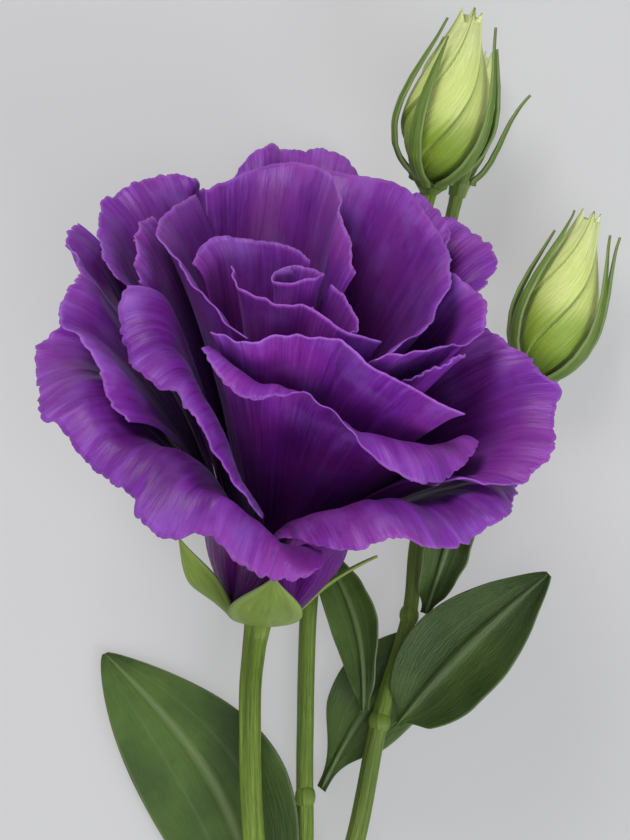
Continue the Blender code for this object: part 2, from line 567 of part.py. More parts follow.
# foot and tip of the bud, its girth, and for each sepal: direction at the foot and at the tip, length,
# width and how far the tip stands off
BUDS = {
    "Bud_Left": dict(foot=(25.2, 60.6, 9.5), tip=(30.6, 84.6, 21.2), girth=6.3, sepals=(
        (188, 190, 27, 2.2, 0.4), (238, 226, 25, 2.6, 0.4), (296, 348, 27, 2.4, 1.4), (10, 10, 23, 2.2, 1.2),
        (122, 120, 22, 2.2, 0.6))),
    "Bud_Third": dict(foot=(29.6, 60.4, 4.27), tip=(34.2, 80.0, 4.27), girth=3.0, sepals=(
        (352, 340, 16, 1.7, 5.0), (64, 62, 13, 1.6, 0.3), (136, 134, 13, 1.6, 0.3), (208, 206, 14, 1.6, 0.3),
        (280, 284, 14, 1.6, 0.3))),
    "Bud_Right": dict(foot=(41.0, 30.8, 6.1), tip=(48.9, 55.6, 9.5), girth=5.7, sepals=(
        (210, 214, 27, 2.4, 0.5), (158, 156, 23, 2.2, 1.0), (312, 344, 25, 2.4, 1.0), (20, 8, 25, 2.2, 2.6),
        (92, 92, 21, 2.2, 0.3))),
}
BUD_SHAPE = ((0.0, 0.30), (0.04, 0.5), (0.09, 0.68), (0.18, 0.88), (0.3, 0.99), (0.36, 1.0), (0.46, 0.96),
             (0.6, 0.82), (0.74, 0.62), (0.87, 0.42), (1.0, 0.26))
BUD_FOOT = 1.7            # the wrapped petals begin this far above the bud's cup
SEPAL_FOOT = 0.9          # the sepals leave the cup's side at this height
BUD_PETALS = 5
BUD_TWIST = math.radians(-140)
BUD_RELIEF = 0.09
BUD_SIDES = 25
BUD_ROWS = 11


def bud_radius(t, girth):
    """Radius of the bud at a share t of its length."""
    shares, radii = zip(*BUD_SHAPE)
    return girth * float(np.interp(t, shares, radii))


def wrapped_radius(t, a, girth):
    """Radius of the wrapped petals: each edge steps up over its neighbour along a spiral."""
    phase = (a * BUD_PETALS / (2 * math.pi) + t * BUD_TWIST * BUD_PETALS / (2 * math.pi)) % 1.0
    step = phase if phase < 0.8 else (1 - phase) * 4
    fade = min(1.0, t * 5)
    return bud_radius(t, girth) * (1 + BUD_RELIEF * (step - 0.4) * fade)


def bud_length(bud):
    return (Vector(bud["tip"]) - Vector(bud["foot"])).length


def build_bud(name, bud, material):
    """The wrapped petals of a bud as one body."""
    length = bud_length(bud)
    mesh = bmesh.new()
    rings = []
    for i in range(BUD_ROWS + 1):
        t = i / BUD_ROWS
        ring = []
        for k in range(BUD_SIDES):
            a = 2 * math.pi * k / BUD_SIDES
            r = wrapped_radius(t, a, bud["girth"])
            crown = 0.05 * length * max(0.0, math.cos(a * BUD_PETALS + t * BUD_TWIST * BUD_PETALS)) * t ** 6
            height = BUD_FOOT + t * (length - BUD_FOOT) + crown
            ring.append(mesh.verts.new((r * math.cos(a) * MM, r * math.sin(a) * MM, height * MM)))
        rings.append(ring)
    for low, high in zip(rings, rings[1:]):
        for k in range(BUD_SIDES):
            n = (k + 1) % BUD_SIDES
            mesh.faces.new((low[k], low[n], high[n]))
            mesh.faces.new((low[k], high[n], high[k]))
    for ring, height in ((rings[0], BUD_FOOT), (rings[-1], length * 0.97)):
        middle = mesh.verts.new((0, 0, height * MM))
        for k in range(BUD_SIDES):
            mesh.faces.new((middle, ring[k], ring[(k + 1) % BUD_SIDES]))
    bmesh.ops.recalc_face_normals(mesh, faces=mesh.faces)
    return new_object(name, mesh, material)


def bud_sepal_sheet(bud, start, end, length, width, stand_off):
    """A narrow sepal hugging the bud, its tip standing off."""
    whole = bud_length(bud)
    shares = (0.0, 0.06, 0.13, 0.22, 0.33, 0.45, 0.58, 0.72, 0.86, 1.0)
    sheet = np.zeros((len(shares), 3, 3))
    for i, t in enumerate(shares):
        height = SEPAL_FOOT + t * (length - SEPAL_FOOT)
        share = max(0.0, height - BUD_FOOT) / (whole - BUD_FOOT)
        hug = bud_radius(min(share, 1.0), bud["girth"]) * (1 + BUD_RELIEF * 0.4)
        radius = hug + GAP + SEPAL_THICKNESS * 0.8 + stand_off * t ** 3
        middle = math.radians(start + (end - start) * t)
        half = width / 2 * (1 - 0.75 * t ** 1.5)
        for j, s in enumerate((-1, 0, 1)):
            a = middle + s * half / radius
            r = radius + 0.25 * half * (1 - s * s)
            sheet[i, j] = (r * math.cos(a), r * math.sin(a), height)
    return sheet


def build_bud_calyx(name, bud, material):
    """The five sepals of a bud fused on a small cup."""
    wide = bud["girth"] * BUD_SHAPE[0][1] + GAP + SEPAL_THICKNESS * 0.8
    cup = turned("Cup", ((-1.2, 1.3), (0.0, wide * 0.8), (BUD_FOOT - GAP, wide)), 14, material)
    sepals = [blade("Sepal", bud_sepal_sheet(bud, *row), SEPAL_THICKNESS, material) for row in bud["sepals"]]
    return fuse(name, [cup] + sepals, material)


def bud_matrix(bud):
    """The bud's frame: z along the bud, x to the right in the plan."""
    axis = (Vector(bud["tip"]) - Vector(bud["foot"])).normalized()
    side = Vector((1, 0, 0))
    side = (side - axis * side.dot(axis)).normalized()
    turn = Matrix((side, axis.cross(side), axis)).transposed().to_4x4()
    return Matrix.Translation(stand(*bud["foot"])) @ turn


# ---------------------------------------------------------------- materials and assembly

MATERIALS = {
    "petal_violet": ((0.16, 0.035, 0.33), 0.5),
    "leaf_green": ((0.09, 0.16, 0.06), 0.5),
    "stem_green": ((0.22, 0.33, 0.09), 0.45),
    "sepal_green": ((0.14, 0.24, 0.08), 0.5),
    "bud_green": ((0.62, 0.68, 0.30), 0.5),
}


def make_material(name, colour, roughness):
    material = bpy.data.materials.new(name)
    material.use_nodes = True
    shader = material.node_tree.nodes["Principled BSDF"]
    shader.inputs["Base Color"].default_value = (*colour, 1)
    shader.inputs["Roughness"].default_value = roughness
    return material


def clear_scene():
    for obj in list(bpy.data.objects):
        bpy.data.objects.remove(obj)
    for label in (NAME, "Cutters"):
        collection = bpy.data.collections.new(label)
        bpy.context.scene.collection.children.link(collection)
    bpy.data.collections["Cutters"].hide_render = True


def main():
    clear_scene()
    paint = {key: make_material(key, *value) for key, value in MATERIALS.items()}
    build_stem(paint["stem_green"])
    for name, leaf in LEAVES.items():
        build_leaf(name, leaf, paint["leaf_green"])
    bloom = Matrix.Translation(stand(0, 0, BLOOM_HEIGHT)) @ bloom_matrix()
    for name, sheet in seat_petals().items():
        petal = blade(name, sheet[np.ix_(ROWS, COLUMNS)], PETAL_THICKNESS, paint["petal_violet"])
        petal.matrix_world = bloom
    build_bloom_calyx(paint["sepal_green"]).matrix_world = bloom
    for name, bud in BUDS.items():
        build_bud(name, bud, paint["bud_green"]).matrix_world = bud_matrix(bud)
        calyx = name.replace("Bud", "Calyx")
        build_bud_calyx(calyx, bud, paint["sepal_green"]).matrix_world = bud_matrix(bud)


main()
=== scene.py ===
"""A cut lisianthus lying down, with its finer petals, leaves, buds and stalks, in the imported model's frame.

Lengths in the tables are millimetres. Plan position is measured from the bloom's receptacle:
x to the right, y along the stem towards the bloom, z up from the surface it lies on.
"""
import math

import bpy
import numpy as np
from mathutils import Matrix, Vector


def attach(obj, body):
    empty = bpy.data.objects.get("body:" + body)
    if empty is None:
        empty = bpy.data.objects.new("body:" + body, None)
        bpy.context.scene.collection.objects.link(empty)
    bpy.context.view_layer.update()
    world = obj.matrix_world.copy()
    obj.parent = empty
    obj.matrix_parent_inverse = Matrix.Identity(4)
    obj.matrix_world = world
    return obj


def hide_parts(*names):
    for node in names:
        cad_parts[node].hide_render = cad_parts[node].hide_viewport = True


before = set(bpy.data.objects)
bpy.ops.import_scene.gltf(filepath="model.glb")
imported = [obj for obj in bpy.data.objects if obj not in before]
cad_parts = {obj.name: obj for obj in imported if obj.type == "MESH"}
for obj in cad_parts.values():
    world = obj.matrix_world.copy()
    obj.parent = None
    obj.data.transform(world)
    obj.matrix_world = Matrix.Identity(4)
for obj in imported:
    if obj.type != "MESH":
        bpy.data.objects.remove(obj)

MM = 0.001

# where the plan's origin stands from the middle of the whole flower
STAND_X = -10.63
STAND_Y = 15.9
STAND_Z = 0.0

# the bloom: height of its receptacle, how far its axis rises from the table and leans to the right
BLOOM_HEIGHT = 8.5
BLOOM_RISE = math.radians(37)
BLOOM_LEAN = math.radians(7)

PETAL_THICKNESS = 0.6
PETAL_SPACING = 0.95      # least distance between the middles of two petals lying on one another
CLAW_START = 1.6          # the claws begin this far above the receptacle
GAP = 0.3                 # gap kept where two pieces touch
SEPAL_THICKNESS = 0.8

# one row of numbers per petal, from the heart outwards; a list of five runs across the blade
# az: direction of its middle, half: half the angle it spans at the rim (degrees)
# b: angle from the bloom's axis to the rim, l: distance from the receptacle to the rim
# r0: where its claw starts, claw: half the claw's width, curl: bend from claw to rim
# grow: how late the blade widens (1: evenly from claw to rim)
# lip: how far the rim turns out, lw: width of that lip
# ruf, n, ph: height, number and phase of the rim's waves
# edge: lobes of the rim, as rows of (place across the blade, width added to the lip)

# what most petals of a ring share
RING_COMMON = {
    "Heart": dict(r0=1.8, claw=0.7, curl=14, lip=10, lw=3, ruf=0.2),
    "Inner": dict(r0=2.7, claw=1.0, curl=20, lip=20, lw=5, ruf=0.4),
    "Middle": dict(r0=3.7, claw=1.2, curl=20, lip=20, lw=5, ruf=0.5),
    "Outer": dict(r0=4.7, claw=1.4, curl=30, lw=8, ruf=0.8),
}
PETALS = {
    "Heart": (
        dict(az=300, half=190, b=(1.8, 3.5, 3.3, 2.7, 3.7), l=(57.5, 58.5, 60.5, 58.3, 56.8), r0=1.3,
             curl=4, lip=15, ruf=0.15),
        dict(az=310, half=24, b=(6.5, 11, 12.7, 9.3, 4.5), l=(58, 58, 58, 58.5, 59), curl=8, ruf=0.1),
        dict(az=246, half=66, b=(9, 9.3, 9, 9, 16.7), l=(60, 60.5, 60.5, 60.5, 60), r0=2.1, lw=5),
        dict(az=113, half=40, b=(5, 8, 12, 16.5, 16), l=(57.5, 57.5, 57.3, 57.7, 56.5), claw=0.8,
             lip=(5, 10, 25, 45, 45), lw=4),
    ),
    "Inner": (
        dict(az=182, half=62, b=(29, 21.5, 15.3, 14.3, 15.3), l=(61, 61, 61, 61, 60), grow=1.15),
        dict(az=67, half=48, b=(7.4, 8.5, 13, 33.5, 31.5), l=(58, 60.5, 63, 64.5, 61), lip=15, lw=6,
             grow=1.1),
        dict(az=21, half=68, b=(18, 19.8, 22, 28, 35.5), l=(59, 61.5, 63, 64.5, 64), r0=2.8, grow=1.2,
             edge=((-1, 0), (-0.76, -0.4), (-0.64, -1), (-0.5, -2.3), (-0.4, -2.6), (-0.33, -2),
                   (-0.28, -0.9), (-0.1, -0.6), (0.1, -1), (0.25, -1.4), (0.4, -1.2), (0.56, 0))),
        dict(az=341, half=40, b=(19.5, 21, 25, 26, 22.5), l=(62, 62, 62, 62, 60), r0=3.1, curl=22,
             edge=((-1, 0), (-0.4, 0.2), (-0.28, -0.9), (-0.16, -1.9), (-0.04, -2.4), (0.08, -1.9),
                   (0.2, -1.2), (0.32, -0.7), (0.44, -0.3), (0.6, 0))),
        dict(az=325, half=13, b=(22.5, 23.3, 24, 24.5, 24.5), l=(57, 59, 60, 61, 60), claw=0.6, curl=18,
             lip=10, ruf=0.2, grow=2.0),
        dict(az=273.5, half=45.5, b=(17.2, 15.5, 14.6, 17.4, 32), l=(60, 61, 61, 61, 61), r0=3.1, curl=18,
             lip=10, ruf=0.15, grow=1.3),
    ),
    "Middle": (
        dict(az=279, half=51, b=(18.5, 20, 20, 30.5, 36), l=(60, 61, 55, 61, 56),
             lip=(60, 90, 20, 110, 60), lw=(5, 8, 5, 11, 7),
             edge=((-1, -1.2), (-0.8, -0.5), (-0.6, 0), (-0.04, 0), (0.06, -1.4), (0.13, -1.0),
                   (0.2, 0.9), (0.26, 1.6), (0.34, 1.7), (0.44, 1), (0.56, 0), (0.68, -0.4), (0.8, -0.8),
                   (0.92, -1.6), (1, -2.4))),
        dict(az=222, half=42, b=(20, 21, 23, 28, 38), l=(62, 61, 60, 57.5, 46), lip=(70, 100, 90, 60, 20),
             lw=(9, 11, 10, 7, 5),
             edge=((-1, 0), (-0.35, 0.2), (-0.2, -0.6), (-0.05, -1.0), (0.1, -1.8), (0.17, -2.8),
                   (0.28, -1.8), (0.4, -0.8), (0.6, -0.2), (1, 0))),
        dict(az=156, half=18, b=(25, 24, 23.5, 23, 22.5), l=(60, 61.5, 62, 62, 58), curl=22, ruf=0.4,
             grow=0.9),
        dict(az=50, half=20, b=(24, 27, 29.5, 32, 33), l=(57, 62.5, 64, 64, 58), curl=25, ruf=0.4,
             grow=1.1),
    ),
    "Outer": (
        dict(az=38, half=24, b=(27, 30, 33, 32.5, 31), l=(56, 61.5, 63, 63, 58), lip=30, grow=1.0,
             edge=((-0.64, 0), (-0.54, -1.2), (-0.47, 0.3), (-0.42, 1.1), (-0.28, 0.8), (-0.04, 1.2),
                   (0.2, 1.1), (0.36, 0.3), (0.5, 0))),
        dict(az=87, half=21, b=(40.5, 42.5, 43.7, 43.2, 40.7), l=(54, 66, 68.4, 67, 56), lip=20),
        dict(az=132, half=30, b=(35, 36.5, 37, 34.5, 27), l=(58, 64.5, 65, 63, 57), lip=25, grow=1.3,
             edge=((-0.2, 0), (0.1, -0.5), (0.3, -1.4), (0.5, -1.5), (0.7, -1.2), (1, 0))),
        dict(az=184, half=37, b=(29.5, 31, 31, 31, 32), l=(62.5, 63.5, 63, 62, 54), claw=1.6, lip=25,
             grow=0.95,
             edge=((-1, 0), (-0.8, -0.3), (-0.68, -1.0), (-0.5, -1.4), (-0.35, -2.2), (-0.2, -1.6),
                   (0, 0.4), (0.2, 1.3), (0.4, 0.6), (0.7, 0))),
        dict(az=338, half=25, b=(36, 42.4, 42, 36, 27), l=(51, 59.5, 62.5, 61.5, 58), claw=1.0, curl=35,
             lip=20, lw=10, grow=0.95,
             edge=((-1, -0.8), (-0.88, -0.7), (-0.76, 0), (-0.66, 1.2), (-0.52, 0), (-0.16, 0),
                   (-0.04, -0.5), (0.08, -1.1), (0.2, -1), (0.26, -0.4), (0.32, 1), (0.38, 1.6),
                   (0.46, 0), (0.56, 0), (0.68, 0.9), (0.8, 0.4), (1, 0))),
        dict(az=303, half=35, b=(38, 40, 41, 42, 41), l=(34, 58, 61, 60, 54), r0=4.6, claw=1.0,
             lip=(10, 45, 60, 60, 50), lw=(14, 15, 15, 14, 12), ruf=1.0, grow=0.95,
             edge=((-0.64, 0), (-0.52, -0.7), (-0.4, -1.1), (-0.28, -1.5), (-0.16, 0.4), (-0.04, 0.8),
                   (0.08, 1.1), (0.2, 0.4), (0.32, -0.4), (0.44, -1), (0.56, -1.5), (0.7, -1.3),
                   (0.85, -0.6), (1, 0))),
        dict(az=223, half=54, b=(38, 35, 33.5, 36, 41), l=(54, 61, 63, 62, 58), r0=4.8,
             lip=(30, 70, 90, 90, 80), lw=(10, 15, 17, 18, 16), ruf=1.3, n=2.6, ph=1.0, grow=1.0,
             edge=((-1, 0), (-0.92, 0.6), (-0.84, 1.8), (-0.72, 0.7), (-0.5, -0.2), (-0.27, 1.2),
                   (-0.24, -0.3), (-0.1, 0.8), (0.1, 0.1), (0.23, -0.8), (0.27, 1.3), (0.36, 1.7),
                   (0.43, 1.6), (0.52, -0.9), (0.58, -1.6), (0.66, -0.1), (0.76, 0.8), (0.86, 0.6),
                   (0.94, -0.3), (1, -1.8))),
    ),
}

EVEN_EDGE = ((-1, 0), (1, 0))

# the fine grid every petal is worked out on
FINE_U = 50
FINE_V = 48


def turn_to(axis):
    """Turns a frame so that its z lies along the axis and its x to the right."""
    side = Vector((1, 0, 0))
    side = (side - axis * side.dot(axis)).normalized()
    return Matrix((side, axis.cross(side), axis)).transposed().to_4x4()


def stand(x, y, z):
    """A plan position in the flower's frame, in metres."""
    return Vector((x + STAND_X, y + STAND_Y, z + STAND_Z)) * MM


def bloom_place():
    """The bloom's own frame: z along its axis, from the receptacle."""
    level = math.cos(BLOOM_RISE)
    axis = Vector((math.sin(BLOOM_LEAN) * level, math.cos(BLOOM_LEAN) * level, math.sin(BLOOM_RISE)))
    return Matrix.Translation(stand(0, 0, BLOOM_HEIGHT)) @ turn_to(axis)


# ---- petals ----

def across(value, u):
    """Value at u (-1..1) of a quantity given at five stations across the blade."""
    v = np.array(value, float) if np.ndim(value) else np.full(5, float(value))
    m = np.array([v[1] - v[0], (v[2] - v[0]) / 2, (v[3] - v[1]) / 2, (v[4] - v[2]) / 2, v[4] - v[3]])
    t = (np.clip(u, -1, 1) + 1) * 2
    i = np.minimum(t.astype(int), 3)
    f = t - i
    start = 2 * f ** 3 - 3 * f ** 2 + 1
    end = 3 * f ** 2 - 2 * f ** 3
    return start * v[i] + (f ** 3 - 2 * f ** 2 + f) * m[i] + end * v[i + 1] + (f ** 3 - f ** 2) * m[i + 1]


def chord(petal, u):
    """Slope and length of the blade that joins its claw to its rim."""
    b = np.radians(across(petal["b"], u))
    reach = across(petal["l"], u)
    bend = np.maximum(np.radians(across(petal["curl"], u)), 0.001)
    out = reach * np.sin(b) - petal["r0"]
    up = reach * np.cos(b) - CLAW_START
    return np.degrees(np.arctan2(out, up)), np.hypot(out, up) * (bend / 2) / np.sin(bend / 2)


def running_sum(slope, step):
    """Integral of slope down the rows, starting at nought."""
    total = np.cumsum((slope[1:] + slope[:-1]) / 2 * step, axis=0)
    return np.vstack([np.zeros((1, slope.shape[1])), total])


def petal_rows():
    """Every petal's name and numbers, with those that its ring shares."""
    for ring, petals in PETALS.items():
        for number, petal in enumerate(petals, 1):
            yield f"Petal_{ring}_{number}", RING_COMMON[ring] | petal


def petal_sheet(petal):
    """Middle sheet of one petal in the bloom's frame, rows from claw to rim."""
    u = np.linspace(-1, 1, FINE_U + 1)[None, :]
    v = np.linspace(0, 1, FINE_V + 1)[:, None]
    slope, length = chord(petal, u)
    curl = across(petal["curl"], u)
    lip_width = np.maximum(across(petal["lw"], u), 0.1)
    turn = np.clip(1 - (1 - v) * length / lip_width, 0, 1)
    angle = slope + curl * (v - 0.5) + across(petal["lip"], u) * (turn * turn * (3 - 2 * turn))
    upright = np.clip(v * 6, 0, 1)
    angle = angle * upright + np.clip(slope - curl / 2, 0, 12) * (1 - upright)
    angle = np.radians(angle)
    step = length / FINE_V
    lobe = np.interp(u, *zip(*petal.get("edge", EVEN_EDGE))) * turn
    radius = petal["r0"] + running_sum(np.sin(angle), step) + lobe * np.sin(angle[-1])
    height = CLAW_START + running_sum(np.cos(angle), step) + lobe * np.cos(angle[-1])
    # azimuth: the blade widens from a narrow claw and wraps round the axis
    mid_slope, mid_length = (float(a[0]) for a in chord(petal, np.array([0.0])))
    mid_curl = float(across(petal["curl"], np.array([0.0]))[0])
    mid = np.radians(mid_slope + mid_curl * (v - 0.5))
    mid_radius = np.maximum(petal["r0"] + running_sum(np.sin(mid), mid_length / FINE_V), 1.0)
    rim_half_width = math.radians(petal["half"]) * mid_radius[-1, 0]
    half_width = petal["claw"] + (rim_half_width - petal["claw"]) * v ** petal.get("grow", 1.3)
    turn_round = math.radians(petal["az"]) + u * half_width / mid_radius
    # waves that grow towards the rim
    near_rim = np.clip(1 - (1 - v) * length / (2.6 * np.maximum(lip_width, 5)), 0, 1) ** 1.6
    wave = petal["ruf"] * np.sin(math.pi * petal.get("n", 3) * u + petal.get("ph", 0.0))
    wave = wave + 0.15 * np.sin(math.pi * 8 * u + 1.0)
    radius = radius + near_rim * wave * np.cos(angle)
    height = height - near_rim * wave * np.sin(angle)
    return np.stack([radius * np.cos(turn_round), radius * np.sin(turn_round), height], axis=-1)


# the space round the bloom's axis in cells: how far from the axis the petals seated so far reach
CELL_ANGLE = 180
CELL_REACH = 100
NO_PETAL = -9.0
POLE = 12.0               # the petals lean about a point this far below the receptacle
CLAW_ROWS = 8.0           # fine rows over which a claw still leans as a whole


def polar(sheet):
    """Azimuth cell, distance cell, distance and angle from the axis for each point."""
    radius = np.hypot(sheet[..., 0], sheet[..., 1])
    reach = np.hypot(radius, sheet[..., 2] + POLE)
    azimuth = np.arctan2(sheet[..., 1], sheet[..., 0]) % (2 * math.pi)
    column = (azimuth / (2 * math.pi) * CELL_ANGLE).astype(int) % CELL_ANGLE
    row = np.clip(reach, 0, CELL_REACH - 1).astype(int)
    return column, row, reach, np.arctan2(radius, sheet[..., 2] + POLE)


def neighbours(field):
    """The field shifted by up to one place each way, nine copies."""
    p = np.pad(field, 1, mode="edge")
    rows, columns = field.shape
    return [p[i:i + rows, j:j + columns] for i in range(3) for j in range(3)]


def grown(field, steps):
    """Largest value among each point's neighbours, repeated."""
    for _ in range(steps):
        field = np.max(neighbours(field), axis=0)
    return field


def smoothed(field, steps):
    """Mean of each point's neighbours, repeated."""
    for _ in range(steps):
        field = sum(neighbours(field)) / 9
    return field


def seat_petals():
    """All petal sheets, each leant outwards just enough to clear the ones inside it."""
    taken = np.full((CELL_ANGLE, CELL_REACH), NO_PETAL)
    claw = np.clip(1 - np.arange(FINE_V + 1) / CLAW_ROWS, 0, 1)[:, None]
    sheets = {}
    for name, petal in petal_rows():
        sheet = petal_sheet(petal)
        for _ in range(3):
            column, row, reach, angle = polar(sheet)
            around = np.max([np.roll(taken, (i, j), (0, 1)) for i in (-1, 0, 1) for j in (-1, 0, 1)], axis=0)
            need = around[column, row] + PETAL_SPACING / reach
            push = smoothed(grown(np.clip(need - angle, 0, 0.5), 2), 2)
            push = push.max(axis=1, keepdims=True) * claw + push * (1 - claw)
            if push.max() < 1e-4:
                break
            sheet = lean_out(sheet, push)
        sheets[name] = sheet
        column, row, reach, angle = polar(refined(sheet))
        np.maximum.at(taken, (column, row), angle)
    return sheets


def lean_out(sheet, push):
    """Turns every point away from the axis by its own small angle."""
    radius = np.hypot(sheet[..., 0], sheet[..., 1])
    reach = np.hypot(radius, sheet[..., 2] + POLE)
    angle = np.arctan2(radius, sheet[..., 2] + POLE) + push
    scale = reach * np.sin(angle) / np.maximum(radius, 1e-6)
    return np.stack([sheet[..., 0] * scale, sheet[..., 1] * scale, reach * np.cos(angle) - POLE], axis=-1)


def more_rows(sheet):
    """The sheet with three more rows between neighbours."""
    rows = np.linspace(0, len(sheet) - 1, 4 * (len(sheet) - 1) + 1)
    i = np.minimum(rows.astype(int), len(sheet) - 2)
    f = (rows - i)[:, None, None]
    return sheet[i] * (1 - f) + sheet[i + 1] * f


def refined(sheet):
    """The sheet with three more points between neighbours both ways, so that no cell is missed."""
    return more_rows(more_rows(sheet).swapaxes(0, 1)).swapaxes(0, 1)


def smooth_path(points, steps):
    """Points of a smooth curve through rows of (x, y, z, radius)."""
    p = np.array(points, float)
    p = np.vstack([2 * p[0] - p[1], p, 2 * p[-1] - p[-2]])
    out = []
    for i in range(1, len(p) - 2):
        for k in range(steps):
            t = k / steps
            out.append(0.5 * (2 * p[i] + (p[i + 1] - p[i - 1]) * t
                              + (2 * p[i - 1] - 5 * p[i] + 4 * p[i + 1] - p[i + 2]) * t * t
                              + (3 * p[i] - p[i - 1] - 3 * p[i + 1] + p[i + 2]) * t ** 3))
    out.append(p[-2])
    return out


# where the stalks part, then each stalk as rows of x, y, z, radius
FORK = (4.2, -70.0, 3.4)
MAIN_STEM = ((0.6, -118, 2.5, 2.5), (1.8, -100, 2.6, 2.45), (3.3, -84, 2.9, 2.4), (4.2, -69, 3.4, 2.2))
BLOOM_STEM = ((4.4, -74, 3.2, 1.85), (2.2, -60, 5.4, 1.75), (-0.6, -44, 6.6, 1.7), (-1.7, -30, 6.5, 1.7),
              (-1.8, -16, 5.6, 1.7), (-1.3, -9.5, 4.4, 1.8), (-0.78, -6.0, 4.3, 2.0), (-0.34, -2.8, 6.3, 2.3))
LEFT_BUD_STEM = ((4.4, -74, 3.2, 1.6), (5.4, -58, 2.2, 1.5), (6.4, -40, 1.6, 1.35), (6.5, -22, 1.5, 1.3),
                 (7.3, 0, 1.5, 1.3), (10.5, 18, 1.5, 1.25), (17, 36, 1.6, 1.2), (21.3, 47, 2.7, 1.2),
                 (23.6, 54.5, 5.4, 1.2), (24.9, 59.25, 8.9, 1.3))
THIRD_BUD_STEM = ((18.0, 38, 1.7, 1.0), (23.8, 47, 1.4, 0.95), (27.6, 53.0, 2.6, 0.95),
                  (28.9, 57.4, 4.05, 1.0), (29.24, 58.88, 4.27, 1.05))
RIGHT_BUD_STEM = ((4.4, -74, 3.2, 1.7), (9.4, -54, 3.8, 1.6), (14.3, -37, 3.8, 1.5), (17.7, -20, 3.7, 1.35),
                  (22.2, -4, 3.2, 1.15), (23.6, 8, 2.6, 1.1), (27.5, 16, 2.4, 1.1), (34.5, 20.5, 3.4, 1.1),
                  (39.0, 24.6, 5.0, 1.15), (40.55, 29.35, 5.9, 1.3))
# swellings: middle and half sizes
KNOBS = ((FORK, (3.0, 3.6, 2.9)), ((17.7, -20, 3.7), (1.75, 2.0, 1.7)), ((22.2, -4, 3.2), (1.5, 1.8, 1.5)),
         ((6.5, -31.5, 1.7), (1.6, 2.0, 1.6)))


# start and end of the midrib, width, how far the midrib bows up and sideways, roll of the blade about its
# midrib (degrees), how deeply it is folded along the midrib (degrees), how far along it is widest,
# and the length of the narrow foot
LEAVES = {
    "Leaf_Left": dict(start=(0.0, -64.5, 2.3), end=(-23.9, -9.9, 0.7), width=20.5, bow=0.7, sway=-7.6,
                      roll=-3, fold=6, widest=0.58, foot=0.08),
    "Leaf_Right": dict(start=(20.6, -20.2, 4.6), end=(43.0, 2.4, 9.0), width=14.5, bow=1.2, sway=0.9,
                       roll=-10, fold=14, widest=0.42, foot=0.1),
    "Leaf_Folded": dict(start=(15.4, -18.4, 5.4), end=(8.6, 6.8, 3.9), width=7.2, bow=1.0, sway=-2.4,
                        roll=-20, fold=20, widest=0.58, foot=0.14),
    "Leaf_Stalked": dict(start=(8.9, -30.4, 1.3), end=(29.0, -6.0, 1.3), width=12.6, bow=-0.2, sway=2.4,
                         roll=0, fold=3, widest=0.56, foot=0.36),
    "Bract": dict(start=(24.6, -3.6, 4.4), end=(31.0, 20.5, 9.0), width=6.6, bow=0.6, sway=-0.5,
                  roll=0, fold=24, widest=0.5, foot=0.14),
}


def leaf_sheet(leaf, rows, columns):
    """Middle sheet of a leaf in the table's frame."""
    start, end = np.array(leaf["start"], float), np.array(leaf["end"], float)
    along = end - start
    length = np.linalg.norm(along)
    forward = along / length
    left = np.cross([0, 0, 1.0], forward)
    left /= np.linalg.norm(left)
    up = np.cross(forward, left)
    t = np.linspace(0, 1, rows + 1)
    hump = np.sin(math.pi * t)
    midrib = start + t[:, None] * along + hump[:, None] * (leaf["bow"] * up + leaf["sway"] * left)
    k = math.log(0.5) / math.log(leaf["widest"])
    half = leaf["width"] / 2 * np.sin(math.pi * t ** k) ** 0.85
    foot = np.clip(t / leaf["foot"], 0, 1)
    foot = foot ** 2 * (3 - 2 * foot)
    half = half * foot + 0.8 * (1 - t) + 0.5 * t
    u = np.linspace(-1, 1, columns + 1)
    roll, fold = math.radians(leaf["roll"]), math.radians(leaf["fold"])
    grid = np.zeros((rows + 1, columns + 1, 3))
    for j, s in enumerate(u):
        lift = roll + foot * fold * s * 1.2
        side = np.cos(lift)[:, None] * left + np.sin(lift)[:, None] * up
        ripple = 0.25 * np.sin(2.5 * math.pi * t + 1.3 * s) * abs(s) * hump
        grid[:, j] = midrib + (s * half)[:, None] * side + ripple[:, None] * up
    return grid + np.array([STAND_X, STAND_Y, STAND_Z])


# direction, opening near the foot and at the tip, length, width, twist of the blade
BLOOM_SEPALS = ((222, 38, 25, 24.5, 5.0, -45), (270, 44, 30, 30, 11.5, 0), (347, 30, 50, 16.6, 4.8, 20),
                (52, 34, 37, 14, 5.0, 0), (130, 34, 37, 14, 5.0, 0))
SEPAL_START = 6.0
SEPAL_LOW = -1.5          # height at which the sepals leave the cup
CUP = ((-3.0, 2.2), (-2.3, 2.6), (-1.8, 3.9), (-1.5, 5.6), (-0.9, 6.6))
PISTIL = ((-2, 0.55), (12, 0.45), (15, 0.7), (16, 0.4))


